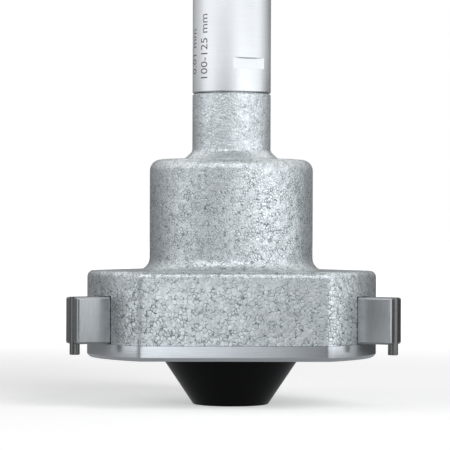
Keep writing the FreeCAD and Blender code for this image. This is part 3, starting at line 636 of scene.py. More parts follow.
def groove_mask(tree, place, radius, low, high):
    """A mask of the grooves pressed into an upright round grip between two heights, where painted shade goes.
    """
    level = node(tree, "SeparateXYZ", place).outputs["Z"]
    flat = node(tree, "VectorMath", place, (1, 1, 0), operation="MULTIPLY").outputs[0]
    away = node(tree, "VectorMath", flat, operation="LENGTH").outputs["Value"]
    soft, groove_floor, groove_lip = 0.2 * MM, radius - 0.22 * MM, radius - 0.04 * MM
    deep = ramp(tree, away, groove_floor, groove_lip, 1, 0)
    above, below = ramp(tree, level, low, low + soft, 0, 1), ramp(tree, level, high - soft, high, 1, 0)
    return maths(tree, "MULTIPLY", deep, maths(tree, "MULTIPLY", above, below))


def metal_finish(name, rgba, roughness, stretch, depth, contrast, groove_shade_wall=None):
    """A bare or plated metal with fine tool marks along one direction, and painted shade in the grooves of a
    grip.
    """
    made, tree, shader = new_finish(name, Metallic=1)
    place = object_place(tree)
    groove_shade_share, smudge = 0.3, 0.15
    grain = use_group(tree, "Tool marks", Vector=place, Stretch=stretch)
    tone = mixed(tree, spread(tree, grain["Marks"], 0, 1), shaded(rgba, contrast), tuple(rgba))
    if groove_shade_wall:
        # painted shade: the grip's grooves darken to a share of the metal's colour
        tone = mixed(tree, groove_mask(tree, place, *groove_shade_wall), tone, shaded(rgba, groove_shade_share))
    plug(tree, tone, shader["Base Color"])
    low, high = roughness * (1 - smudge), roughness * (1 + smudge)
    plug(tree, spread(tree, grain["Smudge"], low, high), shader["Roughness"])
    bumped(tree, shader, strength=0.4, depth=depth, height=grain["Marks"])
    return made


def metals():
    """Each metal's colour, roughness, grain along X, Y and Z, relief, contrast and, on a grip, the wall whose
    grooves get painted shade.
    """
    colours = finish()
    lathe_marks, fine_relief, relief = (160, 160, 2600), 0.004 * MM, 0.01 * MM
    # the grips whose grooves get painted shade
    thimble_groove_shade = (THIMBLE[1].x, THIMBLE[1].z - 18.8 * MM, THIMBLE[1].z - 0.7 * MM)
    knob_groove_shade = (KNOB[1].x, KNOB[0].z + 0.8 * MM, KNOB[1].z - 0.8 * MM)
    return {
        "Satin chrome": (colours.chrome, 0.3, lathe_marks, fine_relief, 0.96),
        "Thimble steel": (colours.satin, 0.3, lathe_marks, fine_relief, 0.94, thimble_groove_shade),
        "Knob steel": (colours.satin, 0.3, lathe_marks, fine_relief, 0.94, knob_groove_shade),
        "Ground plate": (colours.plate, 0.22, (120, 120, 3200), relief, 0.86),
        "Ground anvil": (colours.steel, 0.22, (2600, 2600, 260), relief, 0.86),
        "Carbide": (colours.carbide, 0.22, (900, 900, 900), relief, 0.85),
        "Ground steel": ((0.58, 0.59, 0.60, 1), 0.28, (300, 300, 2400), relief, 0.88),
        "Bronze": ((0.62, 0.42, 0.20, 1), 0.35, (300, 300, 2200), 2 * relief, 0.85),
        "Spring steel": ((0.33, 0.34, 0.35, 1), 0.32, (1800, 1800, 1800), relief, 0.85),
        "Dark screws": ((0.09, 0.09, 0.10, 1), 0.38, (1500, 1500, 1500), relief, 0.8),
    }


def plastic_finish():
    """Smooth black plastic with faint mould texture."""
    plastic, dark_share = finish().plastic, 0.8
    made, tree, shader = new_finish("Black plastic", Metallic=0, Specular_IOR_Level=0.15)
    grain = use_group(tree, "Tool marks", Vector=object_place(tree), Stretch=(1500, 1500, 1500))
    tone = mixed(tree, spread(tree, grain["Smudge"], 0, 1), shaded(plastic, dark_share), tuple(plastic))
    plug(tree, tone, shader["Base Color"])
    plug(tree, spread(tree, grain["Smudge"], 0.2, 0.26), shader["Roughness"])
    bumped(tree, shader, strength=0.2, depth=0.03 * MM, height=grain["Marks"])
    return made


def ink_finish():
    """Matt black fill of figures and scales, slightly worn."""
    ink, worn_share = finish().ink, 2.2
    made, tree, shader = new_finish("Scale ink", Metallic=0)
    grain = use_group(tree, "Tool marks", Vector=object_place(tree), Stretch=(900, 900, 900))
    tone = mixed(tree, spread(tree, grain["Marks"], 0, 1), tuple(ink), shaded(ink, worn_share))
    plug(tree, tone, shader["Base Color"])
    plug(tree, spread(tree, grain["Marks"], 0.5, 0.65), shader["Roughness"])
    return made


def material(name):
    """The finish of that name, made when it is first wanted."""
    if name in bpy.data.materials:
        return bpy.data.materials[name]
    if "Tool marks" not in bpy.data.node_groups:
        hammer_group()
        grain_group()
    others = {"Hammertone paint": hammertone_finish, "Black plastic": plastic_finish, "Scale ink": ink_finish}
    return others[name]() if name in others else metal_finish(name, *metals()[name])


# Pieces


class MICROMETER_OT_housing(bpy.types.Operator):
    """Builds the painted casting: base with three windows, barrel, flare and neck"""

    bl_idname = "micrometer.housing"
    bl_label = "Head Housing"

    STEM_BORE = 8.01 * MM
    SPINDLE_BORE = 5.2 * MM
    CONE_PLAY = 0.05 * MM
    ROOF_DEPTH = 4.05 * MM

    def execute(self, context):
        sizes = head()
        foot, top = HOUSING[0].z, HOUSING[1].z
        base = foot + sizes.base_height
        shoulder = base + sizes.barrel_height
        edge, hollow, crest = sizes.edge_round, sizes.foot_round, sizes.shoulder_round
        barrel, neck, flare, rim = sizes.barrel_radius, sizes.neck_radius, sizes.flare, sizes.rim
        toe, blend, lean = 0.4 * MM, 0.3 * MM, 0.2 * MM
        chamber, roof = CONE[1].x + self.CONE_PLAY, shoulder - self.ROOF_DEPTH
        outline = [
            *arc(barrel + hollow, base + hollow, hollow, 270, 180, 6),
            *arc(barrel - crest, shoulder - crest, crest, 0, 90, 7),
            (neck + flare + toe, shoulder),
            (neck + flare - lean, shoulder + blend),
            (neck + blend, shoulder + flare - blend),
            (neck, shoulder + flare + toe),
            (neck, top - rim),
            (neck - rim, top),
            (self.STEM_BORE, top),
            (self.STEM_BORE, STEM[0].z),
            (self.SPINDLE_BORE, STEM[0].z),
            (self.SPINDLE_BORE, roof),
            (chamber, roof),
            (chamber, foot),
        ]
        rings = [("plan", 0, foot)]
        rings += [("plan", edge - out, height) for out, height in arc(0, base - edge, edge, 0, 90, 5)]
        rings += [("round", radius, height) for radius, height in outline]
        half = sizes.window_width / 2
        low, high = (-half, 0, foot - MM), (half, sizes.base_radius + MM, sizes.window_roof)
        windows = [turned(block(low, high), angle) for angle in SIDES.values()]
        finished("painted_head", carved(ringed(rings), windows), "head", "hammertone_paint", "head_housing")
        return {"FINISHED"}


class MICROMETER_OT_plate(bpy.types.Operator):
    """Builds the ground base plate and its countersunk screws"""

    bl_idname = "micrometer.plate"
    bl_label = "Base Plate"

    BORE = 16 * MM
    NOSE_SEAT = 18.01 * MM
    NOSE_SEAT_DEPTH = 2.01 * MM
    SCREW_PLAY = 0.02 * MM
    SCREW_REACH = 9 * MM
    SOCKET_RADIUS = 1.15 * MM
    SOCKET_DEPTH = 1.2 * MM

    def execute(self, context):
        sizes = head()
        foot, top = PLATE[0].z, PLATE[1].z
        step, chamfer, soft = foot + self.NOSE_SEAT_DEPTH, sizes.plate_chamfer, 0.15 * MM
        shape = ringed([
            ("plan", chamfer + soft, foot),
            ("plan", chamfer - soft, foot + soft),
            ("plan", soft, foot + chamfer - soft),
            ("plan", 0, foot + chamfer + soft),
            ("plan", 0, top - soft),
            ("plan", soft, top),
            ("round", self.BORE, top),
            ("round", self.BORE, step),
            ("round", self.NOSE_SEAT, step),
            ("round", self.NOSE_SEAT, foot),
        ])
        rim, shank, soft = sizes.screw_head, sizes.screw_shank, 0.1 * MM
        under, end = foot + (rim - shank), top + self.SCREW_REACH
        wide, narrow = rim + self.SCREW_PLAY + MM, shank + self.SCREW_PLAY
        screws, holes = [], []
        for side in range(3):
            centre = Matrix.Rotation(FRONT + side * TURN / 3, 3, "Z") @ Vector((sizes.screw_circle, 0, 0))
            hole = spun(
                [(0, foot - MM), (wide, foot - MM), (narrow, under), (narrow, top + MM), (0, top + MM)],
                steps=32)
            holes.append(moved(hole, centre))
            screw = spun(
                [(0, foot), (rim - soft, foot), (rim, foot + soft), (shank, under), (shank, end), (0, end)],
                steps=32)
            socket = bmesh.new()
            bmesh.ops.create_cone(
                socket, cap_ends=True, segments=6, radius1=self.SOCKET_RADIUS, radius2=self.SOCKET_RADIUS,
                depth=2 * self.SOCKET_DEPTH, matrix=Matrix.Translation((0, 0, foot)))
            screws.append(moved(carved(screw, [socket]), centre))
        finished("ground_plate", carved(shape, holes), "head", "brushed_plate", "base_plate")
        finished("hex_plate_screws", gathered(screws), "head", "dark_screws", "plate_screws")
        return {"FINISHED"}


class MICROMETER_OT_nose(bpy.types.Operator):
    """Builds the black tapered nose"""

    bl_idname = "micrometer.nose"
    bl_label = "Nose Cap"

    SPIGOT = 18 * MM
    BORE = 16 * MM
    WALL = 2.5 * MM
    FLOOR = 1.8 * MM

    def execute(self, context):
        sizes = head()
        top, step = PLATE[0].z, NOSE[1].z
        soft, inset = 0.5 * MM, 0.55
        foot_centre = sizes.nose_foot - soft * inset
        slope = (sizes.nose_top - sizes.nose_foot) / top
        shape = spun([
            (0, 0),
            *arc(foot_centre, soft, soft, 270, 330, 4),
            (sizes.nose_top, top),
            (self.SPIGOT, top),
            (self.SPIGOT, step),
            (self.BORE, step),
            (self.BORE, top),
            (sizes.nose_foot - self.WALL + slope * self.FLOOR, self.FLOOR),
            (0, self.FLOOR),
        ], steps=128)
        finished("black_nose", shape, "head", "black_plastic", "nose_cap")
        return {"FINISHED"}


class MICROMETER_OT_anvils(bpy.types.Operator):
    """Builds the three ground anvils, their contact pins and their return springs"""

    bl_idname = "micrometer.anvils"
    bl_label = "Anvils"

    PIN_PLAY = 0.01 * MM
    GROOVE_HALF = 1.8 * MM
    GROOVE_START = 14 * MM
    GROOVE_END = 38.2 * MM
    GROOVE_DEPTH = 3.8 * MM
    COIL_RADIUS = 1.35 * MM
    COIL_WIRE = 0.5 * MM
    COIL_TURNS = 6

    def execute(self, context):
        sizes = head()
        (low, high), (pin_low, pin_high) = REAR_ANVIL, REAR_PIN
        radius, soft = sizes.pin_radius, 0.12 * MM
        middle = pin_high.y - radius
        for side, angle in SIDES.items():
            bar = block(low, high)
            for spot in bar.verts:
                if spot.co.y < middle / 2 and spot.co.z > (low.z + high.z) / 2:
                    spot.co.y = low.y + high.z - low.z
            outer = [edge for edge in bar.edges if max(spot.co.y for spot in edge.verts) > middle]
            bmesh.ops.bevel(
                bar, geom=outer, offset=sizes.anvil_edge, offset_type="OFFSET", segments=3, profile=0.5,
                affect="EDGES", material=-1)
            bore = moved(rod(radius + self.PIN_PLAY, low.z - MM, high.z + MM, steps=40), (0, middle, 0))
            groove = block(
                (-self.GROOVE_HALF, self.GROOVE_START, low.z - MM),
                (self.GROOVE_HALF, self.GROOVE_END, low.z + self.GROOVE_DEPTH))
            bar = carved(bar, [groove, bore])
            pin = spun([
                (0, pin_low.z), (radius - soft, pin_low.z), (radius, pin_low.z + soft), (radius, pin_high.z),
                (0, pin_high.z)], steps=40)
            pin = turned(moved(pin, (0, middle, 0)), angle)
            body = "anvil_" + side
            finished("ground_anvil_" + side, turned(bar, angle), body, "ground_anvil", "anvil_" + side)
            finished("hard_pin_" + side, pin, body, "carbide", "contact_pin_" + side)
            self.spring(side, angle)
        return {"FINISHED"}

    @classmethod
    def spring(cls, side, angle):
        """The return spring under an anvil: a coil that stays on the head at its built length."""
        low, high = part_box("return_spring_rear")
        span, travel = high.y - low.y, 12.5 * MM
        outward = Matrix.Translation((0, low.y, (low.z + high.z) / 2)) @ Matrix.Rotation(-math.pi / 2, 4, "X")
        turn = Matrix.Rotation(angle, 4, "Z")
        shape = placed(coil(cls.COIL_RADIUS, cls.COIL_WIRE, cls.COIL_TURNS, span), turn @ outward)
        piece = finished("coil_spring_" + side, shape, "head", "spring_steel", "return_spring_" + side)
        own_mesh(piece)


class MICROMETER_OT_sleeve(bpy.types.Operator):
    """Builds the satin sleeve with its spanner flats, hook hole, figures and scale"""

    bl_idname = "micrometer.sleeve"
    bl_label = "Sleeve"

    BORE = 8.85 * MM
    FLATS_ANGLE = math.radians(296.5)
    ROOF_SLANT = 0.3
    HOOK_HOLE = 0.9 * MM
    HOOK_HEIGHT = 134 * MM
    RANGE_ANGLE, RANGE_START = math.radians(224), 88.3 * MM
    STEP_ANGLE, STEP_START = math.radians(198), 90.2 * MM

    def execute(self, context):
        marks = grip()
        low, high = SLEEVE
        radius, edge = high.x, 0.35 * MM
        shape = spun([
            (self.BORE, low.z), (radius - edge, low.z), *arc(radius - edge, low.z + edge, edge, 300, 360, 3),
            (radius, high.z), (self.BORE, high.z)], steps=128)
        hole = rod(self.HOOK_HOLE, 0, radius + MM, steps=32)
        bmesh.ops.rotate(hole, verts=hole.verts, cent=(0, 0, 0), matrix=Matrix.Rotation(-math.pi / 2, 3, "X"))
        tools = [turned(self.flat(radius), self.FLATS_ANGLE + opposite) for opposite in (0, math.pi)]
        tools.append(moved(hole, (0, 0, self.HOOK_HEIGHT)))
        finished("satin_sleeve", carved(shape, tools), "head", "satin_chrome", "sleeve", sharp=12)

        def around_sleeve(height):
            return radius

        range_text = lettering(marks.range_text, marks.text_height, math.pi / 2, (0, self.RANGE_START))
        step_text = lettering(marks.step_text, marks.text_height, math.pi / 2, (0, self.STEP_START))
        drawings = [
            wrapped(range_text, around_sleeve, self.RANGE_ANGLE),
            wrapped(step_text, around_sleeve, self.STEP_ANGLE),
            wrapped(self.scale(), around_sleeve, FRONT),
        ]
        finished("sleeve_marks", gathered(drawings), "head", "black_plastic", look="Scale ink")
        return {"FINISHED"}

    @classmethod
    def flat(cls, radius):
        """What a spanner flat takes off the sleeve: a slab whose roof slants up outwards."""
        marks = grip()
        face, foot = marks.spanner_flats / 2, marks.spanner_foot
        roof = foot + marks.spanner_height
        slab = block((face, -radius, foot), (radius + MM, radius, roof))
        level = [edge for edge in slab.edges if edge.calc_length() > 1.9 * radius]
        bmesh.ops.subdivide_edges(slab, edges=level, cuts=31, use_grid_fill=True)
        for spot in slab.verts:
            if spot.co.z > (foot + roof) / 2:
                wall = math.sqrt(max(radius ** 2 - spot.co.y ** 2, face ** 2))
                spot.co.z += (spot.co.x - wall) * cls.ROOF_SLANT
        return slab

    @staticmethod
    def scale():
        """The sleeve's scale: a line along it, marks half a millimetre apart and a figure at every fifth."""
        zero, pitch, below = THIMBLE[0].z, 0.5 * MM, 14 * MM
        half_line, half_mark, figure, gap = 0.08 * MM, 0.06 * MM, 1.5 * MM, 0.4 * MM
        drawn = [strip((-half_line, zero - below), (half_line, zero + MM))]
        for number in range(26):
            fifth = number % 5 == 0
            reach = 3.6 * MM if fifth else 2 * MM
            height = zero - number * pitch
            drawn.append(strip((0, height - half_mark), (reach, height + half_mark)))
            if fifth:
                drawn.append(lettering(str(100 + number), figure, 0, (reach + gap, height)))
        return gathered(drawn)


class MICROMETER_OT_thimble(bpy.types.Operator):
    """Builds the thimble with its graduated bevel and ridged grip, and its clamping nut"""

    bl_idname = "micrometer.thimble"
    bl_label = "Thimble"

    SPINDLE_BORE = 4.01 * MM
    SLEEVE_PLAY = 0.15 * MM
    LIP = 0.2 * MM
    BEVEL = 5 * MM
    GRIP = 20 * MM
    GROOVE_DEPTH = 0.5 * MM
    GROOVE_WIDTH = 1 * MM
    CHAMFER = 0.8 * MM
    ROOF = 3.5 * MM

    def execute(self, context):
        low, high = THIMBLE
        radius, bore, top = high.x, SLEEVE[1].x + self.SLEEVE_PLAY, high.z
        lip, bevel_top, groove = bore + self.LIP, low.z + self.BEVEL, top - self.GRIP
        groove_floor, groove_top = radius - self.GROOVE_DEPTH, groove + self.GROOVE_WIDTH
        chamfer, soft, slant = self.CHAMFER, 0.2 * MM, 0.4 * MM
        steps = grip().ridges * 3
        shape = spun([
            (bore, low.z),
            (lip, low.z),
            (radius - soft / 2, bevel_top - soft),
            (radius, bevel_top + soft),
            (radius, groove),
            (groove_floor, groove),
            (groove_floor, groove_top),
            (radius - slant, groove_top),
            (radius, groove_top + slant),
            (radius, top - chamfer - slant),
            (radius, top - chamfer),
            (radius - chamfer, top),
            (self.SPINDLE_BORE, top),
            (self.SPINDLE_BORE, top - self.ROOF),
            (bore, top - self.ROOF),
        ], steps)
        ridged(shape, steps, radius, groove_top + soft, top - chamfer + soft / 2)
        finished("satin_thimble", shape, "spindle", "satin_chrome", "thimble", look="Thimble steel", sharp=25)

        def bevel_radius(height):
            share = (height - low.z) / self.BEVEL
            return lip + (radius - lip) * min(max(share, 0), 1)

        drawings = [
            wrapped(self.division(number, low.z), bevel_radius, FRONT - number * TURN / 100)
            for number in range(100)]
        finished("thimble_marks", gathered(drawings), "spindle", "black_plastic", look="Scale ink")
        foot, top = CLAMP_NUT[0].z, CLAMP_NUT[1].z
        rim, soft = CLAMP_NUT[1].x, 0.3 * MM
        nut = spun([
            (self.SPINDLE_BORE, foot), (rim - soft, foot), (rim, foot + soft), (rim, top - soft),
            (rim - soft, top), (self.SPINDLE_BORE, top)])
        finished("clamp_nut", nut, "spindle", "ground_steel", "thimble_nut")
        return {"FINISHED"}

    @staticmethod
    def division(number, foot):
        """A mark of the thimble's scale, longer at every fifth, and longest with a figure at every tenth."""
        half_mark, start, figure_size, figure_height = 0.07 * MM, 0.05 * MM, 1.1 * MM, 3.9 * MM
        tenth, fifth = number % 10 == 0, number % 5 == 0
        reach = 3 * MM if tenth else 2.3 * MM if fifth else 1.6 * MM
        drawn = [strip((-half_mark, foot + start), (half_mark, foot + reach))]
        if tenth:
            figure = lettering(str(number), figure_size, 0, (0, foot + figure_height))
            across = [spot.co.x for spot in figure.verts]
            drawn.append(moved(figure, (-(min(across) + max(across)) / 2, 0, 0)))
        return gathered(drawn)


class MICROMETER_OT_ratchet(bpy.types.Operator):
    """Builds the ridged ratchet knob and its slotted screw"""

    bl_idname = "micrometer.ratchet"
    bl_label = "Ratchet"

    RIDGES = 48
    CHAMFER = 0.7 * MM
    CAVITY = 6.8 * MM
    POCKET = 5.2 * MM
    SCREW_BORE = 1.55 * MM
    WEB, WEB_TOP = 203.95 * MM, 206.55 * MM
    TEETH_INNER, TEETH_OUTER, TEETH_DEPTH = 4 * MM, 6.5 * MM, 0.8 * MM
    SHANK = 1.5 * MM
    SCREW_HEAD = 3 * MM
    SLOT_HALF = 0.45 * MM
    SLOT_REACH = 6 * MM

    def execute(self, context):
        foot, top, radius = KNOB[0].z, KNOB[1].z, KNOB[1].x
        chamfer, wall, soft = self.CHAMFER, self.CHAMFER + 0.3 * MM, 0.2 * MM
        teeth, steps = self.WEB - self.TEETH_DEPTH, self.RIDGES * 3
        shape = spun([
            (self.CAVITY, foot),
            (radius - chamfer, foot),
            (radius, foot + chamfer),
            (radius, foot + wall),
            (radius, top - wall),
            (radius, top - chamfer),
            (radius - chamfer, top),
            (self.POCKET + soft, top),
            (self.POCKET, top - soft),
            (self.POCKET, self.WEB_TOP),
            (self.SCREW_BORE, self.WEB_TOP),
            (self.SCREW_BORE, self.WEB),
            (self.TEETH_INNER, self.WEB),
            (self.TEETH_INNER, teeth),
            (self.TEETH_OUTER, teeth),
            (self.TEETH_OUTER, self.WEB),
            (self.CAVITY, self.WEB),
        ], steps)
        ridged(shape, steps, radius, foot + chamfer + soft / 2, top - chamfer - soft / 2)
        finished("ridged_knob", shape, "ratchet", "satin_chrome", "ratchet_knob", look="Knob steel", sharp=25)
        foot, top, rim = SCREW[0].z, SCREW[1].z, SCREW[1].x
        shank, under, soft = self.SHANK, top - self.SCREW_HEAD, 0.4 * MM
        screw = spun([
            (0, foot), (shank, foot), (shank, under), (rim, under), (rim, top - soft), (rim - soft, top),
            (0, top)], steps=64)
        slot = block(
            (-self.SLOT_REACH, -self.SLOT_HALF, top - MM), (self.SLOT_REACH, self.SLOT_HALF, top + MM))
        finished("slotted_screw", carved(screw, [slot]), "spindle", "ground_steel", "ratchet_screw")
        return {"FINISHED"}


class MICROMETER_OT_inner(bpy.types.Operator):
    """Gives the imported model's inner pieces their finishes"""

    bl_idname = "micrometer.inner"
    bl_label = "Inner Pieces"

    def execute(self, context):
        for row in frame["record"]["subparts"]:
            cad = frame["nodes"][row["node"]]
            cad.data.materials.clear()
            cad.data.materials.append(material(SLOT_FINISHES[row["material_slot"]]))
        return {"FINISHED"}


# Studio

# Grey walls round the object for reflections: distance, foot, top, and (azimuth, brightness) pairs
WALLS = {
    "high_wall": (0.8, 0.11, 0.45, (
        (-180, 0.1), (-165, 0.12), (-150, 0.4), (-120, 0.6), (-105, 0.75), (-90, 1.1), (-60, 1.14),
        (-15, 1.06), (15, 1.14), (40, 1), (60, 1), (75, 1.13), (90, 0.98), (105, 0.75), (120, 0.48),
        (150, 0.2), (180, 0.1))),
    "low_wall": (0.2, 0, 0.094, (
        (-180, 0.09), (-150, 0.15), (-120, 0.32), (-105, 0.22), (-90, 0.66), (-75, 0.94), (-60, 0.88),
        (-45, 0.36), (-30, 0.17), (-15, 0.06), (0, 0.42), (15, 1.2), (30, 1.58), (50, 1.58), (70, 1.15),
        (90, 0.95), (105, 0.28), (120, 0.1), (150, 0.2), (180, 0.09))),
}

# Upright cards for reflections, in millimetres: azimuth in degrees, distance, span across, span up,
# brightness left and right, and the span that it changes over where that isn't the whole card
CARDS = {
    "anvil_card": (-29, 86, (-14, 14), (16, 40), (0.2, 0.2)),
    "front_card": (0, 100, (-60, 52), (0, 46), (1.06, 0.18), (-18, 33)),
    "right_front_card": (42, 190, (-60, 60), (0, 36), (1, 1.1)),
    "left_rear_card": (-121, 150, (-65, 65), (0, 34), (0.17, 0.17)),
    "right_rear_card": (126, 150, (-65, 65), (0, 34), (0.06, 0.06)),
}

# Level cards for reflections: height and brightness
SHEETS = {"ground_card": (0.3 * MM, 0.3), "ceiling_card": (0.6, 0.06)}
SHEET_HALF = 0.2

# The bright card high in front that lights the rounds of the casting
UPPER_CARD = ((-0.32, -0.15), (0.32, 0.15))
UPPER_BRIGHTNESS = 1.6


def around(azimuth, distance, height):
    """A place that faces the object. Azimuth 0 is the front, and positive angles lie to the right."""
    turn = Matrix.Rotation(math.radians(azimuth), 4, "Z")
    return turn @ Matrix.Translation((0, -distance, height)) @ Matrix.Rotation(math.pi / 2, 4, "X")


def above(azimuth, elevation, distance):
    """A place above the object at an elevation in degrees, facing its head."""
    turn = Matrix.Rotation(math.radians(azimuth), 4, "Z")
    tilt = Matrix.Rotation(math.radians(-elevation), 4, "X")
    head_middle = Matrix.Translation((0, 0, 50 * MM))
    away = Matrix.Translation((0, -distance, 0))
    return head_middle @ (turn @ tilt) @ away @ Matrix.Rotation(math.pi / 2, 4, "X")


def light_world(ambient):
    """A world that is white where it is seen or mirrored and gives an even soft light."""
    world = bpy.data.worlds.new("studio")
    world.use_nodes = True
    tree = world.node_tree
    back = tree.nodes["Background"].inputs
    path = node(tree, "LightPath").outputs
    seen = maths(tree, "MAXIMUM", path["Is Camera Ray"], path["Is Glossy Ray"])
    shown = maths(tree, "MAXIMUM", seen, path["Is Transmission Ray"])
    back["Color"].default_value = (1, 1, 1, 1)
    plug(tree, spread(tree, shown, ambient, 1, 0, 1), back["Strength"])
    world.cycles.sampling_method = "NONE"
    bpy.context.scene.world = world


def lay_floor():
    """A white floor that keeps a soft shadow."""
    reach, near, far = 6, 0.12, 0.6
    near_share, mirrored_share = 0.45, 0.4
    ground = as_object("floor", strip((-reach, -reach), (reach, reach)))
    made, tree, shader = new_finish(
        "Studio floor", Base_Color=(0.8, 0.8, 0.8, 1), Roughness=0.9, Specular_IOR_Level=0,
        Emission_Color=(1, 1, 1, 1))
    away = node(tree, "VectorMath", object_place(tree), operation="LENGTH").outputs["Value"]
    whiter_far_off = ramp(tree, away, near, far, near_share, 1)
    path = node(tree, "LightPath").outputs
    seen = maths(tree, "MULTIPLY_ADD", path["Is Glossy Ray"], mirrored_share, path["Is Camera Ray"])
    plug(tree, maths(tree, "MULTIPLY", seen, whiter_far_off), shader["Emission Strength"])
    made.cycles.emission_sampling = "NONE"
    ground.data.materials.append(made)
    ground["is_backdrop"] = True


def hang_lamp(name, place, size, radiance):
    """A rectangular light that shines down its own -Z, looks as bright as given and isn't mirrored."""
    watts_per_square_metre = 4
    light = bpy.data.lights.new(name, "AREA")
    light.shape, light.size, light.size_y = "RECTANGLE", *size
    light.energy = watts_per_square_metre * radiance * size[0] * size[1]
    holder = bpy.data.objects.new(name, light)
    bpy.context.scene.collection.objects.link(holder)
    holder.matrix_world = place
    holder.visible_glossy = False


def mirrored_only(name, shape, brightness):
    """A shape that only reflections see, each of whose points glows by its own brightness."""
    layer = shape.verts.layers.float.new("brightness")
    for spot, value in zip(shape.verts, brightness):
        spot[layer] = value
    piece = as_object(name, shape)
    made, tree, shader = new_finish(
        name, Base_Color=(0, 0, 0, 1), Specular_IOR_Level=0, Roughness=1, Emission_Color=(0.98, 1, 1.03, 1))
    glow = node(tree, "Attribute", attribute_name="brightness").outputs["Fac"]
    plug(tree, glow, shader["Emission Strength"])
    made.cycles.emission_sampling = "NONE"
    piece.data.materials.append(made)
    piece.visible_camera = piece.visible_diffuse = False
    piece.visible_shadow = piece.visible_transmission = False
    piece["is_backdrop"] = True


def gridded(shape, stops):
    """Makes a grid in the shape with a column for each stop, and gives each point, its stop and its row."""
    bmesh.ops.create_grid(shape, x_segments=len(stops) - 1, y_segments=1, size=0.5)
    for spot in shape.verts:
        yield spot, stops[round((spot.co.x + 0.5) * (len(stops) - 1))], int(spot.co.y > 0)


def put_wall(name, distance, low, high, stops):
    """A wall round the object, graded in brightness, that only reflections see."""
    shape, brightness = bmesh.new(), []
    for spot, (azimuth, value), row in gridded(shape, stops):
        angle = math.radians(azimuth)
        spot.co = (distance * math.sin(angle), -distance * math.cos(angle), (low, high)[row])
        brightness.append(value)
    mirrored_only(name, shape, brightness)


def put_card(name, azimuth, distance, across, up, glow, grade=None):
    """An upright card beside the object, graded from left to right, that only reflections see."""
    start, end = grade or across
    shape, brightness = bmesh.new(), []
    for spot, column, row in gridded(shape, sorted({*across, start, end})):
        share = min(max((column - start) / (end - start), 0), 1)
        brightness.append(glow[0] + (glow[1] - glow[0]) * share)
        spot.co = (column * MM, up[row] * MM, 0)
    mirrored_only(name, placed(shape, around(azimuth, distance * MM, 0)), brightness)


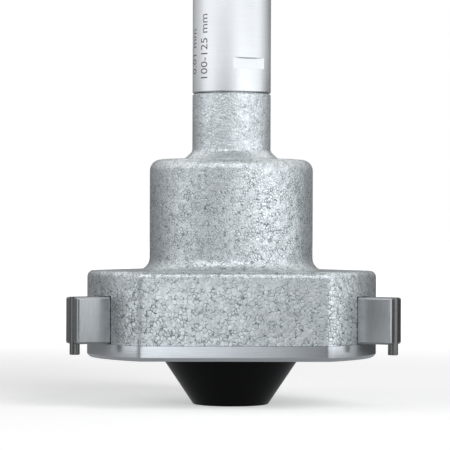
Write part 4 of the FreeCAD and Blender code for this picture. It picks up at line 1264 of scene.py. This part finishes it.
class MICROMETER_OT_stage(bpy.types.Operator):
    """Sets the pale floor, the soft lights, the walls and cards that reflections see, and the camera"""

    bl_idname = "micrometer.stage"
    bl_label = "Studio"

    SOFTBOX_DISTANCE, SOFTBOX_HEIGHT = 0.9, 0.52
    SENSOR_WIDTH = 36
    CLIP_START, CLIP_END = 0.01, 50

    def execute(self, context):
        studio = context.scene.micrometer_studio
        light_world(studio.ambient)
        lay_floor()
        distance, height = self.SOFTBOX_DISTANCE, self.SOFTBOX_HEIGHT
        hang_lamp("right_softbox", around(34, distance, height), (0.6, 1), studio.key)
        hang_lamp("left_softbox", around(-64, distance, height), (0.95, 1), studio.fill)
        hang_lamp("top_softbox", above(azimuth=8, elevation=42, distance=0.95), (0.9, 0.4), studio.top)
        for name, wall in WALLS.items():
            put_wall(name, *wall)
        for name, card in CARDS.items():
            put_card(name, *card)
        for name, (height, brightness) in SHEETS.items():
            sheet = strip((-SHEET_HALF, -SHEET_HALF), (SHEET_HALF, SHEET_HALF))
            mirrored_only(name, moved(sheet, (0, 0, height)), [brightness] * len(sheet.verts))
        upper = placed(strip(*UPPER_CARD), above(azimuth=-12, elevation=46, distance=0.6))
        mirrored_only("upper_card", upper, [UPPER_BRIGHTNESS] * len(upper.verts))
        self.camera(context.scene, studio)
        context.scene.view_settings.view_transform = "Standard"
        return {"FINISHED"}

    @classmethod
    def camera(cls, scene, studio):
        """The scene's camera, in front of the object and a little aside."""
        lens = bpy.data.cameras.new("camera")
        lens.lens, lens.sensor_width = studio.lens, cls.SENSOR_WIDTH
        lens.clip_start, lens.clip_end = cls.CLIP_START, cls.CLIP_END
        camera = bpy.data.objects.new("camera", lens)
        scene.collection.objects.link(camera)
        camera.matrix_world = (
            Matrix.Rotation(studio.azimuth, 4, "Z")
            @ Matrix.Translation((-studio.aside, -studio.distance, studio.eye))
            @ Euler((math.pi / 2, 0, 0)).to_matrix().to_4x4() @ Matrix.Rotation(studio.roll, 4, "Z"))
        scene.camera = camera


class MICROMETER_PT_panel(bpy.types.Panel):
    """Lists the pieces and their sizes"""

    bl_label = "Bore Micrometer"
    bl_idname = "MICROMETER_PT_panel"
    bl_space_type = "VIEW_3D"
    bl_region_type = "UI"
    bl_category = "Bore Micrometer"

    def draw(self, context):
        column = self.layout.column()
        for operator in PIECES:
            column.operator(operator.bl_idname)
        for group in ("head", "grip", "finish", "studio"):
            settings = getattr(context.scene, "micrometer_" + group)
            box = self.layout.box()
            for name in settings.__annotations__:
                box.prop(settings, name)


GROUPS = {
    "micrometer_head": MICROMETER_PG_head,
    "micrometer_grip": MICROMETER_PG_grip,
    "micrometer_finish": MICROMETER_PG_finish,
    "micrometer_studio": MICROMETER_PG_studio,
}
PIECES = (
    MICROMETER_OT_inner,
    MICROMETER_OT_housing,
    MICROMETER_OT_plate,
    MICROMETER_OT_nose,
    MICROMETER_OT_anvils,
    MICROMETER_OT_sleeve,
    MICROMETER_OT_thimble,
    MICROMETER_OT_ratchet,
    MICROMETER_OT_stage,
)


def register():
    """Adds the classes and the scene's settings."""
    for each in (*GROUPS.values(), *PIECES, MICROMETER_PT_panel):
        bpy.utils.register_class(each)
    for name, group in GROUPS.items():
        setattr(bpy.types.Scene, name, PointerProperty(type=group))


def unregister():
    """Takes the settings and the classes away again."""
    for name in GROUPS:
        delattr(bpy.types.Scene, name)
    for each in (MICROMETER_PT_panel, *reversed(PIECES), *reversed(GROUPS.values())):
        bpy.utils.unregister_class(each)


def main():
    """Builds every piece and the studio."""
    register()
    bpy.ops.micrometer.inner()
    bpy.ops.micrometer.housing()
    bpy.ops.micrometer.plate()
    bpy.ops.micrometer.nose()
    bpy.ops.micrometer.anvils()
    bpy.ops.micrometer.sleeve()
    bpy.ops.micrometer.thimble()
    bpy.ops.micrometer.ratchet()
    bpy.ops.micrometer.stage()
    [[list(corner) for corner in box] for box in (CAD_BOX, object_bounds())]


if __name__ == "__main__":
    main()
